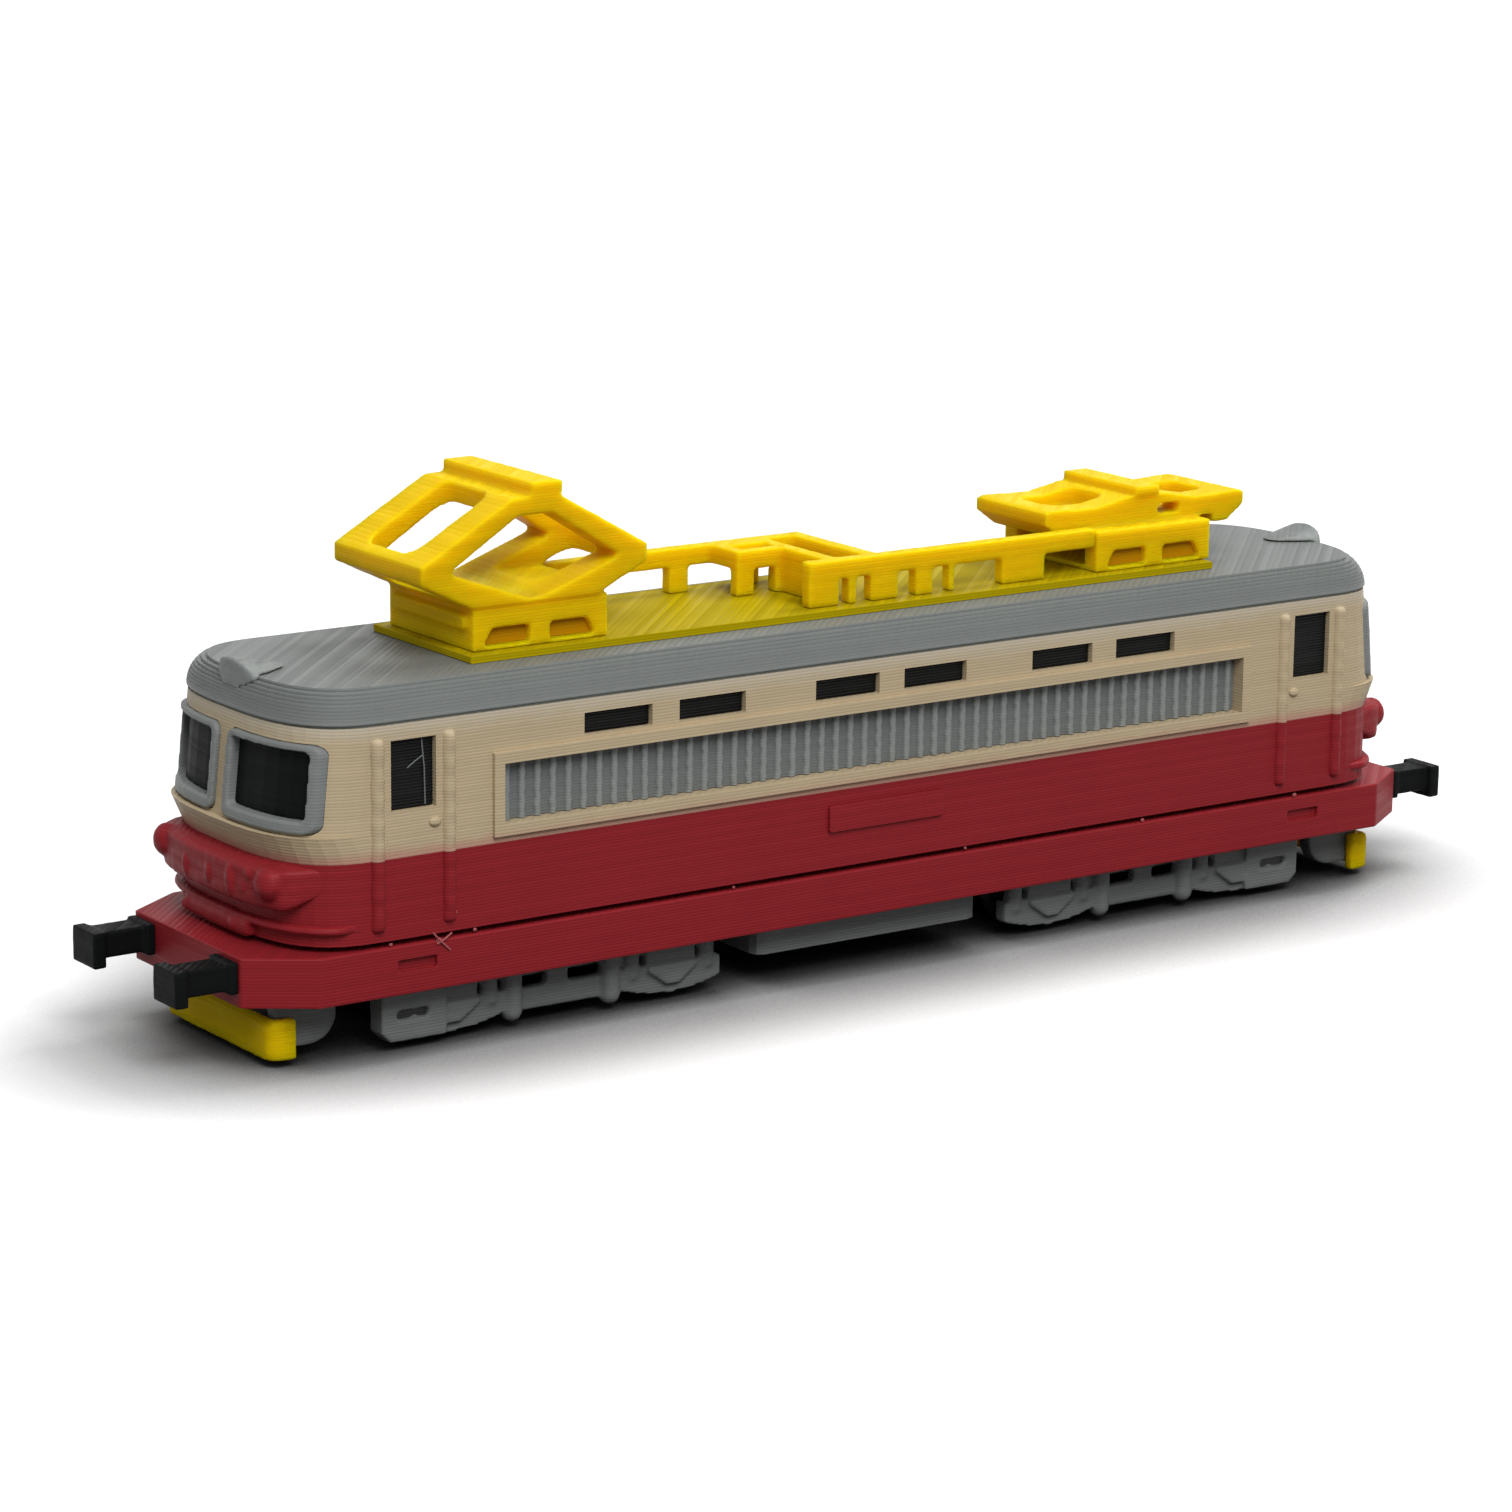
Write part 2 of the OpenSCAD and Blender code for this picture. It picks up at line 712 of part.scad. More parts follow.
// The opening inside that outline
module diamond_opening(knee_h, ridge_h) {
    inner_x = knee_x - 2.3;
    inner_z = knee_h - arm_t * 0.45;
    polygon([[-0.5, 0.25], [0.5, 0.25], [inner_x, inner_z - 0.15], [inner_x, inner_z + 0.15],
             [ridge_half - 0.4, ridge_h - ridge_t], [0.4 - ridge_half, ridge_h - ridge_t],
             [-inner_x, inner_z + 0.15], [-inner_x, inner_z - 0.15]]);
}

// Fixed diamond of sloping panels, each with one long slot between its two bars
module pantograph_arms_front()
    color([0.85, 0.68, 0.05])
        translate([front_panto_x, 0, base_top_z + seat])
            difference() {
                rotate([90, 0, 0])
                    linear_extrude(arm_w, center = true)
                        difference() {
                            diamond_outline(knee_up, ridge_up);
                            diamond_opening(knee_up, ridge_up);
                        }
                for (e = [-1, 1])
                    slot_cut(e * ridge_half, e * (knee_x - 0.8), arm_w - 2 * arm_bar);
            }

// Side outline of the folded arms: two thick knees that hook over the base
module folded_outline()
    for (e = [-1, 1])
        polygon([[0, 0], [e * (base_l / 2 + 1), 0], [e * (base_l / 2 + 1), -0.6],
                 [e * (low_knee_x - 1.5), -0.6], [e * low_knee_x, knee_down - 1],
                 [e * low_knee_x, knee_down - 0.1], [e * (low_knee_x - 0.5), knee_down],
                 [e * low_knee_x / 2, knee_down - 0.1], [e * ridge_half, ridge_down], [0, ridge_down]]);

module pantograph_arms_rear()
    color([0.85, 0.68, 0.05])
        translate([-rear_panto_x, 0, base_top_z + seat])
            difference() {
                rotate([90, 0, 0])
                    linear_extrude(low_arm_w, center = true)
                        folded_outline();
                for (e = [-1, 1])
                    slot_cut(e * (ridge_half + 0.4), e * (low_knee_x - 1.9), low_arm_w - 4);
                // see-through opening behind the ridge
                block([1.9, low_arm_w + 1, 0.7], [-2, 0, 0.45]);
            }

// Upright slot with rounded corners
module slot_cut(x0, x1, w)
    translate([0, 0, 0.5])
        linear_extrude(20)
            rounded_rect(min(x0, x1), max(x0, x1), -w / 2, w / 2, 1);

head_h = 0.85;

// Contact head of the raised pantograph, set back on its ridge
module pantograph_head_front()
    color([0.85, 0.68, 0.05])
        block([2.25, arm_w - 0.1, head_h], [front_panto_x - 0.85, 0, base_top_z + ridge_up + 2 * seat]);

module pantograph_head_rear()
    color([0.85, 0.68, 0.05])
        block([2, low_arm_w + 0.4, 0.6], [-rear_panto_x, 0, base_top_z + ridge_down + 2 * seat]);

module pantograph_base_front() pantograph_base(front_base_x);
module pantograph_base_rear() at_rear() pantograph_base(rear_base_x);

bar_y = 4.5;
bar_w = 1;
bar_h = 1.3;
bar_top_z = base_top_z + 0.2;
bar_front_x = front_base_x - base_l / 2 - fit;
bar_rear_x = fit + base_l / 2 - rear_base_x;
cross_x = -2;
stub_x = 3.5;                          // front end of the conductor's left run

// Straight run of the roof conductor on square posts, from one X to another
module bar_run(x0, x1, y, posts) {
    block([x1 - x0, bar_w, bar_h], [(x0 + x1) / 2, y, bar_top_z - bar_h]);
    for (p = posts)
        block([p[1], bar_w, bar_top_z - plate_top_z - seat - eps], [p[0], y, plate_top_z + seat]);
}

// Roof conductor: on the right at the front, across the roof, on the left at the rear
module busbar()
    color([0.85, 0.68, 0.05]) {
        bar_run(cross_x - bar_w / 2, bar_front_x, -bar_y, [[13.9, 0.7], [7.7, 1.5], [1.9, 1.4]]);
        bar_run(bar_rear_x, stub_x, bar_y,
                [[-14.2, 3.6], [-8.15, 0.4], [-5.9, 1.4], [-2.6, 2.2], [0, 0.6], [stub_x - 1.2, 2.4]]);
        block([bar_w, 2 * bar_y, bar_h], [cross_x, 0, bar_top_z - bar_h]);
    }

box_x = 2.95;
box_y = -2.35;
box_l = 4.5;
box_w = 3.1;
leg_l = 1.4;
leg_w = 0.9;

// Switch gear: a tray with a pocket on two legs, and a wall across to the stub of the conductor
module switch_box()
    color([0.85, 0.68, 0.05]) {
        difference() {
            block([box_l, box_w, bar_h], [box_x, box_y, bar_top_z - bar_h]);
            block([box_l - 1.6, box_w - 1.6, bar_h], [box_x, box_y, bar_top_z - bar_h / 2]);
        }
        for (x = [box_x - (box_l - leg_l) / 2, box_x + (box_l - leg_l) / 2])
            block([leg_l, leg_w, bar_top_z - plate_top_z - bar_h],
                  [x, box_y + (box_w - leg_w) / 2, plate_top_z + seat]);
        block([1, bar_y - bar_w / 2 - fit - box_y, bar_top_z - plate_top_z - seat],
              [box_x - box_l / 2 + 0.5, (bar_y - bar_w / 2 - fit + box_y) / 2, plate_top_z + seat]);
    }

// ---------- running gear ----------

// Bogie frame: a keel between the wheels, with a cross beam and the pivot pin
module bogie_frame(e)
    color([0.36, 0.38, 0.37])
        translate([e * pivot_x, 0, 0])
            difference() {
                union() {
                    block([2 * tower_half_l, 2 * tower_half_w, 5.4 - tower_z], [0, 0, tower_z]);
                    block([6, 2 * tower_half_w, deck_z - 0.3 - tower_z], [0, 0, tower_z]);
                    block([6.6, 2 * (side_frame_y - side_frame_t - seat), 2.6], [0, 0, 3]);
                    translate([0, 0, deck_z - 0.5])
                        cylinder(r = pin_r, h = deck_t + 0.5);
                }
                for (s = [-1, 1])
                    translate([s * axle_x, 0, axle_z])
                        rotate([90, 0, 0])
                            cylinder(r = axle_r + run_gap, h = 4 * tower_half_w, center = true);
            }

module bogie_frame_front() bogie_frame(1);
module bogie_frame_rear() bogie_frame(-1);

// Curved beam under an axle box: a flat top over an arc
module axle_beam()
    intersection() {
        block([7.8, side_frame_t, 2], [0, 0, 0.55]);
        translate([0, 0, 0.55 + 12])
            rotate([90, 0, 0])
                cylinder(r = 12, h = 4, center = true, $fn = 96);
    }

// Side frame on the left of the front bogie, seen from its pivot, outer end at +X
module side_frame()
    color([0.42, 0.44, 0.43]) {
        y_mid = side_frame_y - side_frame_t / 2;
        // centre beam and upper rail
        block([2 * post_x, side_frame_t - 0.3, 1.5], [0, y_mid - 0.15, 0.95]);
        block([2 * axle_x + 6.4, side_frame_t - 0.3, 0.7], [0, y_mid - 0.15, 3.3]);
        block([1.6, side_frame_t - 0.3, 2.4], [0.2, y_mid - 0.15, 0.95]);
        for (s = [-1, 1]) {
            // spring posts with round feet
            translate([s * post_x, side_frame_y - 0.35, post_z + post_r]) {
                cylinder(r = post_r, h = 4 - post_z - post_r);
                sphere(r = post_r, $fn = 32);
            }
            translate([s * axle_x, y_mid, 0])
                axle_beam();
            // axle box plate and tapering boss
            block([3.8, side_frame_t, 1.6], [s * axle_x, y_mid, 2.4]);
            translate([s * axle_x, side_frame_y + 0.35, 0])
                rotate([90, 0, 0])
                    linear_extrude(0.5)
                        polygon([[-1.9, 2.2], [-0.5, 1.2], [0.5, 1.2], [1.9, 2.2], [1.9, 2.6], [-1.9, 2.6]]);
            for (t = [-1, 1])
                translate([s * axle_x + t * 2.9, y_mid + 0.1, 1.9])
                    cylinder(r = 0.62, h = 2.1);
        }
        // equipment block with a slot at the outer end
        difference() {
            block([4.7, side_frame_t + 0.5, 3.4], [axle_x + 3, y_mid + 0.25, 0.6]);
            block([2.3, 1, 0.6], [axle_x + 3.1, side_frame_y + 0.5, 2]);
            translate([axle_x + 5.35, 0, 0.6])
                rotate([0, 45, 0])
                    block([0.9, 30, 0.9], [0, 0, -0.45]);
        }
    }

module side_frame_front_left() translate([pivot_x, 0, 0]) side_frame();
module side_frame_front_right() mirror([0, 1, 0]) side_frame_front_left();
module side_frame_rear_left() mirror([1, 0, 0]) side_frame_front_left();
module side_frame_rear_right() mirror([1, 0, 0]) side_frame_front_right();

// Axle with its two flanged wheels
module wheelset(x)
    color([0.3, 0.31, 0.31])
        translate([x, 0, axle_z])
            rotate([90, 0, 0]) {
                cylinder(r = axle_r, h = back_gap + 2 * wheel_w - 0.4, center = true);
                for (s = [0, 180])
                    rotate([0, s, 0])
                        translate([0, 0, back_gap / 2])
                            rotate_extrude()
                                polygon([[axle_r - 0.05, 0], [flange_r, 0], [flange_r, 0.3],
                                         [tread_r, 0.65], [tread_r - 0.05, wheel_w],
                                         [tread_r - 0.6, wheel_w], [tread_r - 0.7, wheel_w - 0.5],
                                         [1.5, wheel_w - 0.4], [1.4, wheel_w],
                                         [axle_r - 0.05, wheel_w]]);
            }

module wheelset_1() wheelset(pivot_x + axle_x);
module wheelset_2() wheelset(pivot_x - axle_x);
module wheelset_3() wheelset(-pivot_x + axle_x);
module wheelset_4() wheelset(-pivot_x - axle_x);

underframe();
lower_body();
upper_body();
roof();
headlight_fairing_front();
headlight_fairing_rear();
windscreen_frames_front();
windscreen_frames_rear();
windscreens_front();
windscreens_rear();
door_windows();
side_windows();
louvres();
nameplates();
handrails_upper();
handrails_lower();
nose_lamps_front();
nose_lamps_rear();
buffer_front_left();
buffer_front_right();
buffer_rear_left();
buffer_rear_right();
plough_front();
plough_rear();
plough_bracket_front();
plough_bracket_rear();
battery_box();
roof_plate();
busbar();
switch_box();
pantograph_base_front();
pantograph_arms_front();
pantograph_head_front();
pantograph_base_rear();
pantograph_arms_rear();
pantograph_head_rear();
bogie_frame_front();
bogie_frame_rear();
side_frame_front_left();
side_frame_front_right();
side_frame_rear_left();
side_frame_rear_right();
wheelset_1();
wheelset_2();
wheelset_3();
wheelset_4();
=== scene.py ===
import json
import math

import bmesh
import bpy
from mathutils import Matrix, Vector


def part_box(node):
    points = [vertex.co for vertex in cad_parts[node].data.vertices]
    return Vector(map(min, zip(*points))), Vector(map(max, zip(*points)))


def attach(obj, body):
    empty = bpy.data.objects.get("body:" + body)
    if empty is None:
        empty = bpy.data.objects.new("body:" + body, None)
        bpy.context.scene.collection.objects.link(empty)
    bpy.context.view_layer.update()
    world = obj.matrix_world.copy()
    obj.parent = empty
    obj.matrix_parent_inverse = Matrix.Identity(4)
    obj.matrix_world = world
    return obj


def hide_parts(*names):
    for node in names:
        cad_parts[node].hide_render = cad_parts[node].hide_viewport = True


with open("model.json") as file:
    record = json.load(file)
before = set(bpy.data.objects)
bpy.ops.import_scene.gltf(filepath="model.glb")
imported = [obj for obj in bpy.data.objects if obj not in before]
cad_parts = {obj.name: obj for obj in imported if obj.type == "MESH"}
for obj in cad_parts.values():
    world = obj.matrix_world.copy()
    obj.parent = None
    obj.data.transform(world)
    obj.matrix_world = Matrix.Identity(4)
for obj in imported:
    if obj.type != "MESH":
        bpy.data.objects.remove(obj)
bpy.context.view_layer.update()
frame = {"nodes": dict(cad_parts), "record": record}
mm = 0.001          # m
perMetre = 1000     # mm


# camera
cameraSetup = {
    "azimuth": 35.02,        # degrees from the left side towards the front
    "elevation": 13.16,
    "roll": 0.65,
    "distance": 320.0,       # mm
    "aim": (0, 0, 12.55),    # mm
    "across": -3.39,         # mm
    "up": 0.34,              # mm
    "lens": 113.57,          # mm
    "sensor": 36.0,          # mm
    "clip": (0.01, 20.0),    # m
}


def makeCamera(s):
    az = math.radians(s["azimuth"])
    el = math.radians(s["elevation"])
    roll = math.radians(s["roll"])
    back = Vector((math.sin(az) * math.cos(el), math.cos(az) * math.cos(el), math.sin(el)))
    flatRight = (-back).cross(Vector((0, 0, 1))).normalized()
    flatUp = flatRight.cross(-back)
    right = math.cos(roll) * flatRight + math.sin(roll) * flatUp
    up = -math.sin(roll) * flatRight + math.cos(roll) * flatUp
    place = Vector(s["aim"]) + back * s["distance"] + right * s["across"] + up * s["up"]
    data = bpy.data.cameras.new("camera")
    data.lens = s["lens"]
    data.sensor_width = s["sensor"]
    data.clip_start, data.clip_end = s["clip"]
    cam = bpy.data.objects.new("camera", data)
    bpy.context.scene.collection.objects.link(cam)
    turn = Matrix((right, up, back)).transposed().to_4x4()
    cam.matrix_world = Matrix.Translation(place * mm) @ turn
    bpy.context.scene.camera = cam


makeCamera(cameraSetup)
print("camera ready")


# shader helpers
def addNode(tree, kind, inputs=None, **props):
    node = tree.nodes.new(kind)
    for key, value in props.items():
        setattr(node, key, value)
    for key, value in (inputs or {}).items():
        if isinstance(value, bpy.types.NodeSocket):
            tree.links.new(value, node.inputs[key])
        else:
            node.inputs[key].default_value = value
    return node


def mathNode(tree, operation, a, b=0.0, clamp=False):
    node = addNode(tree, "ShaderNodeMath", {0: a, 1: b}, operation=operation, use_clamp=clamp)
    return node.outputs[0]


def mixValues(tree, share, a, b):
    return addNode(tree, "ShaderNodeMix", {0: share, 2: a, 3: b}, data_type="FLOAT").outputs[0]


def newGroup(name, inputs, outputs):
    tree = bpy.data.node_groups.new(name, "ShaderNodeTree")
    for label, kind, value in inputs:
        socket = tree.interface.new_socket(name=label, in_out="INPUT", socket_type=kind)
        socket.default_value = value
    for label, kind in outputs:
        tree.interface.new_socket(name=label, in_out="OUTPUT", socket_type=kind)
    return tree, tree.nodes.new("NodeGroupInput"), tree.nodes.new("NodeGroupOutput")


def useGroup(tree, group, inputs):
    return addNode(tree, "ShaderNodeGroup", inputs, node_tree=group)


def bead(tree, along):
    # rounded ridges with sharp valleys, one for each whole number
    share = mathNode(tree, "SUBTRACT", mathNode(tree, "FRACT", along), 0.5)
    square = mathNode(tree, "MULTIPLY", mathNode(tree, "MULTIPLY", share, share), 4.0)
    return mathNode(tree, "SUBTRACT", 1.0, square)


# What the print head leaves: layers on upright and sloping faces, slanted filling lines on level ones
printMarks = {
    "layerHeight": 0.2,                  # mm
    "lineWidth": 0.42,                   # mm
    "waviness": 0.3,
    "level": (0.93, 0.985),              # how level a face is where lines take over from layers
    "swayScale": 0.35,                   # per mm
    "sway": 0.12,                        # mm, how far layers and lines wander at a waviness of 1
    "driftStretch": (0.07, 0.07, 5.0),   # per mm, slow along a layer and quick from one to the next
    "beadShare": 0.55,
    "grainScale": 9.0,                   # per mm
}


def makePrintGroup(s):
    tree, gin, gout = newGroup(
        "printedSurface",
        [
            ("Layer Height", "NodeSocketFloat", s["layerHeight"]),
            ("Layer Depth", "NodeSocketFloat", 1.0),
            ("Line Width", "NodeSocketFloat", s["lineWidth"]),
            ("Line Depth", "NodeSocketFloat", 1.0),
            ("Waviness", "NodeSocketFloat", s["waviness"]),
        ],
        [("Height", "NodeSocketFloat"), ("Streak", "NodeSocketFloat"), ("Level", "NodeSocketFloat")],
    )
    coords = addNode(tree, "ShaderNodeTexCoord")
    place = addNode(tree, "ShaderNodeVectorMath", {0: coords.outputs["Object"], 1: (perMetre,) * 3},
                    operation="MULTIPLY").outputs[0]
    split = addNode(tree, "ShaderNodeSeparateXYZ", {0: place})
    normal = addNode(tree, "ShaderNodeSeparateXYZ", {0: coords.outputs["Normal"]})
    steep = mathNode(tree, "ABSOLUTE", normal.outputs["Z"])
    level = addNode(tree, "ShaderNodeMapRange",
                    {"Value": steep, "From Min": s["level"][0], "From Max": s["level"][1]},
                    clamp=True).outputs["Result"]
    wander = addNode(tree, "ShaderNodeTexNoise", {"Vector": place, "Scale": s["swayScale"], "Detail": 2.0})
    sway = mathNode(tree, "MULTIPLY", mathNode(tree, "SUBTRACT", wander.outputs["Fac"], 0.5),
                    mathNode(tree, "MULTIPLY", gin.outputs["Waviness"], s["sway"]))

    # upright faces: one bead for each layer, each layer a little off in tone and drifting along its length
    rise = mathNode(tree, "ADD", split.outputs["Z"], sway)
    rise = mathNode(tree, "DIVIDE", rise, gin.outputs["Layer Height"])
    toss = addNode(tree, "ShaderNodeTexWhiteNoise", {"W": mathNode(tree, "FLOOR", rise)},
                   noise_dimensions="1D")
    stretch = addNode(tree, "ShaderNodeVectorMath", {0: place, 1: s["driftStretch"]}, operation="MULTIPLY")
    drift = addNode(tree, "ShaderNodeTexNoise", {"Vector": stretch.outputs[0], "Scale": 1.0, "Detail": 3.0})
    streak = mathNode(tree, "ADD", mathNode(tree, "MULTIPLY", toss.outputs["Value"], 0.5),
                      mathNode(tree, "MULTIPLY", drift.outputs["Fac"], 0.5))
    layers = mathNode(tree, "ADD", mathNode(tree, "MULTIPLY", bead(tree, rise), s["beadShare"]), streak)
    layerHeight = mathNode(tree, "MULTIPLY", gin.outputs["Layer Depth"], layers)

    # level faces: lines at 45 degrees
    slant = mathNode(tree, "SUBTRACT", split.outputs["X"], split.outputs["Y"])
    slant = mathNode(tree, "MULTIPLY", mathNode(tree, "ADD", slant, sway), 0.7071)
    slant = mathNode(tree, "DIVIDE", slant, gin.outputs["Line Width"])
    lineToss = addNode(tree, "ShaderNodeTexWhiteNoise", {"W": mathNode(tree, "FLOOR", slant)},
                       noise_dimensions="1D").outputs["Value"]
    lines = mathNode(tree, "ADD", bead(tree, slant), mathNode(tree, "MULTIPLY", lineToss, 0.5))
    lineHeight = mathNode(tree, "MULTIPLY", gin.outputs["Line Depth"], lines)

    grain = addNode(tree, "ShaderNodeTexNoise", {"Vector": place, "Scale": s["grainScale"], "Detail": 4.0})
    rough = mathNode(tree, "MULTIPLY", grain.outputs["Fac"], gin.outputs["Waviness"])
    height = mathNode(tree, "ADD", mixValues(tree, level, layerHeight, lineHeight), rough)
    tree.links.new(height, gout.inputs["Height"])
    tree.links.new(mixValues(tree, level, streak, lineToss), gout.inputs["Streak"])
    tree.links.new(level, gout.inputs["Level"])
    return tree


printedSurface = makePrintGroup(printMarks)


# A plastic colour that is deeper in some layers and paler in others, with its own gain on level faces, which
# paints shade on them when below one
toneCloud = {"scale": 260.0, "detail": 3.0}     # per m


def makeToneGroup(s):
    tree, gin, gout = newGroup(
        "plasticTone",
        [
            ("Color", "NodeSocketColor", (0.5, 0.5, 0.5, 1)),
            ("Streak", "NodeSocketFloat", 0.5),
            ("Contrast", "NodeSocketFloat", 0.2),
            ("Mottle", "NodeSocketFloat", 0.1),
            ("Level", "NodeSocketFloat", 0.0),
            ("Level Shade Gain", "NodeSocketFloat", 1.0),
        ],
        [("Color", "NodeSocketColor"), ("Gloss Mask", "NodeSocketFloat")],
    )
    coords = addNode(tree, "ShaderNodeTexCoord").outputs["Object"]
    cloud = addNode(tree, "ShaderNodeTexNoise",
                    {"Vector": coords, "Scale": s["scale"], "Detail": s["detail"]})
    centred = mathNode(tree, "SUBTRACT", gin.outputs["Streak"], 0.5)
    wave = mathNode(tree, "MULTIPLY", centred, gin.outputs["Contrast"])
    patch = mathNode(tree, "SUBTRACT", cloud.outputs["Fac"], 0.5)
    patch = mathNode(tree, "MULTIPLY", patch, gin.outputs["Mottle"])
    gain = mathNode(tree, "ADD", 1.0, mathNode(tree, "ADD", wave, patch))
    gain = mathNode(tree, "MULTIPLY", gain,
                    mixValues(tree, gin.outputs["Level"], 1.0, gin.outputs["Level Shade Gain"]))
    color = addNode(tree, "ShaderNodeVectorMath", {0: gin.outputs["Color"], "Scale": gain}, operation="SCALE")
    tree.links.new(color.outputs[0], gout.inputs["Color"])
    mask = mathNode(tree, "ADD", 0.5, mathNode(tree, "ADD", centred, patch), clamp=True)
    tree.links.new(mask, gout.inputs["Gloss Mask"])
    return tree


plasticTone = makeToneGroup(toneCloud)


# A second colour along one height, fading upwards and downwards, used both for a colour that has run into the
# first and for a painted highlight
bleedAndHighlightNoise = {"scale": 700.0, "detail": 3.0}    # per m


def makeBleedAndHighlightGroup(s):
    tree, gin, gout = newGroup(
        "bleedAndHighlight",
        [
            ("Color", "NodeSocketColor", (0.5, 0.5, 0.5, 1)),
            ("Edge Color", "NodeSocketColor", (0.5, 0.5, 0.5, 1)),
            ("Edge Height", "NodeSocketFloat", 13.0),
            ("Reach", "NodeSocketFloat", 0.5),
            ("Amount", "NodeSocketFloat", 0.5),
        ],
        [("Color", "NodeSocketColor")],
    )
    coords = addNode(tree, "ShaderNodeTexCoord").outputs["Object"]
    height = addNode(tree, "ShaderNodeSeparateXYZ", {0: coords}).outputs["Z"]
    height = mathNode(tree, "MULTIPLY", height, perMetre)
    uneven = addNode(tree, "ShaderNodeTexNoise",
                     {"Vector": coords, "Scale": s["scale"], "Detail": s["detail"]})
    away = mathNode(tree, "ABSOLUTE", mathNode(tree, "SUBTRACT", height, gin.outputs["Edge Height"]))
    reach = mathNode(tree, "ADD", uneven.outputs["Fac"], 0.5)
    reach = mathNode(tree, "MULTIPLY", gin.outputs["Reach"], reach)
    share = mathNode(tree, "SUBTRACT", 1.0, mathNode(tree, "DIVIDE", away, reach), clamp=True)
    share = mathNode(tree, "MULTIPLY", share, gin.outputs["Amount"])
    mix = addNode(tree, "ShaderNodeMix", {0: share, 6: gin.outputs["Color"], 7: gin.outputs["Edge Color"]},
                  data_type="RGBA")
    tree.links.new(mix.outputs[2], gout.inputs["Color"])
    return tree


bleedAndHighlight = makeBleedAndHighlightGroup(bleedAndHighlightNoise)


# One printed plastic of the model. Each has a colour and a specular, and the rest where it differs.
plasticDefaults = {
    "rough": 0.5, "dull": 0.1, "shiny": 0.08,      # roughness, and how far it goes up and down
    "contrast": 0.18, "mottle": 0.12,
    "layerDepth": 1.0, "lineDepth": 1.0,
    "bump": 0.35, "bumpDistance": 0.00006,         # m
    "levelShadeGain": 1.0,
    "glow": 0.0, "glowRadius": (1.0, 0.7, 0.4), "glowScale": 0.0024,    # light that passes through, m
    "edges": [],                                   # color, height in mm, reach in mm, amount
}


def printedPlastic(name, values):
    s = {**plasticDefaults, **values}
    material = bpy.data.materials.new(name)
    material.use_nodes = True
    tree = material.node_tree
    shader = tree.nodes["Principled BSDF"]
    surface = useGroup(tree, printedSurface, {
        "Layer Height": printMarks["layerHeight"],
        "Layer Depth": s["layerDepth"],
        "Line Width": printMarks["lineWidth"],
        "Line Depth": s["lineDepth"],
        "Waviness": printMarks["waviness"],
    })
    tone = useGroup(tree, plasticTone, {
        "Color": (*s["color"], 1),
        "Streak": surface.outputs["Streak"],
        "Contrast": s["contrast"],
        "Mottle": s["mottle"],
        "Level": surface.outputs["Level"],
        "Level Shade Gain": s["levelShadeGain"],
    })
    gloss = addNode(tree, "ShaderNodeMapRange", {
        "Value": tone.outputs["Gloss Mask"],
        "To Min": s["rough"] + s["dull"],
        "To Max": s["rough"] - s["shiny"],
    })
    bump = addNode(tree, "ShaderNodeBump", {
        "Height": surface.outputs["Height"],
        "Strength": s["bump"],
        "Distance": s["bumpDistance"],
    })
    color = tone.outputs["Color"]
    for edgeColor, edgeHeight, reach, amount in s["edges"]:
        color = useGroup(tree, bleedAndHighlight, {
            "Color": color,
            "Edge Color": (*edgeColor, 1),
            "Edge Height": edgeHeight,
            "Reach": reach,
            "Amount": amount,
        }).outputs["Color"]
    tree.links.new(color, shader.inputs["Base Color"])
    tree.links.new(gloss.outputs["Result"], shader.inputs["Roughness"])
    tree.links.new(bump.outputs["Normal"], shader.inputs["Normal"])
    shader.inputs["Specular IOR Level"].default_value = s["specular"]
    shader.inputs["Subsurface Weight"].default_value = s["glow"]
    shader.inputs["Subsurface Radius"].default_value = s["glowRadius"]
    shader.inputs["Subsurface Scale"].default_value = s["glowScale"]
    material.diffuse_color = (*s["color"], 1)
    return material


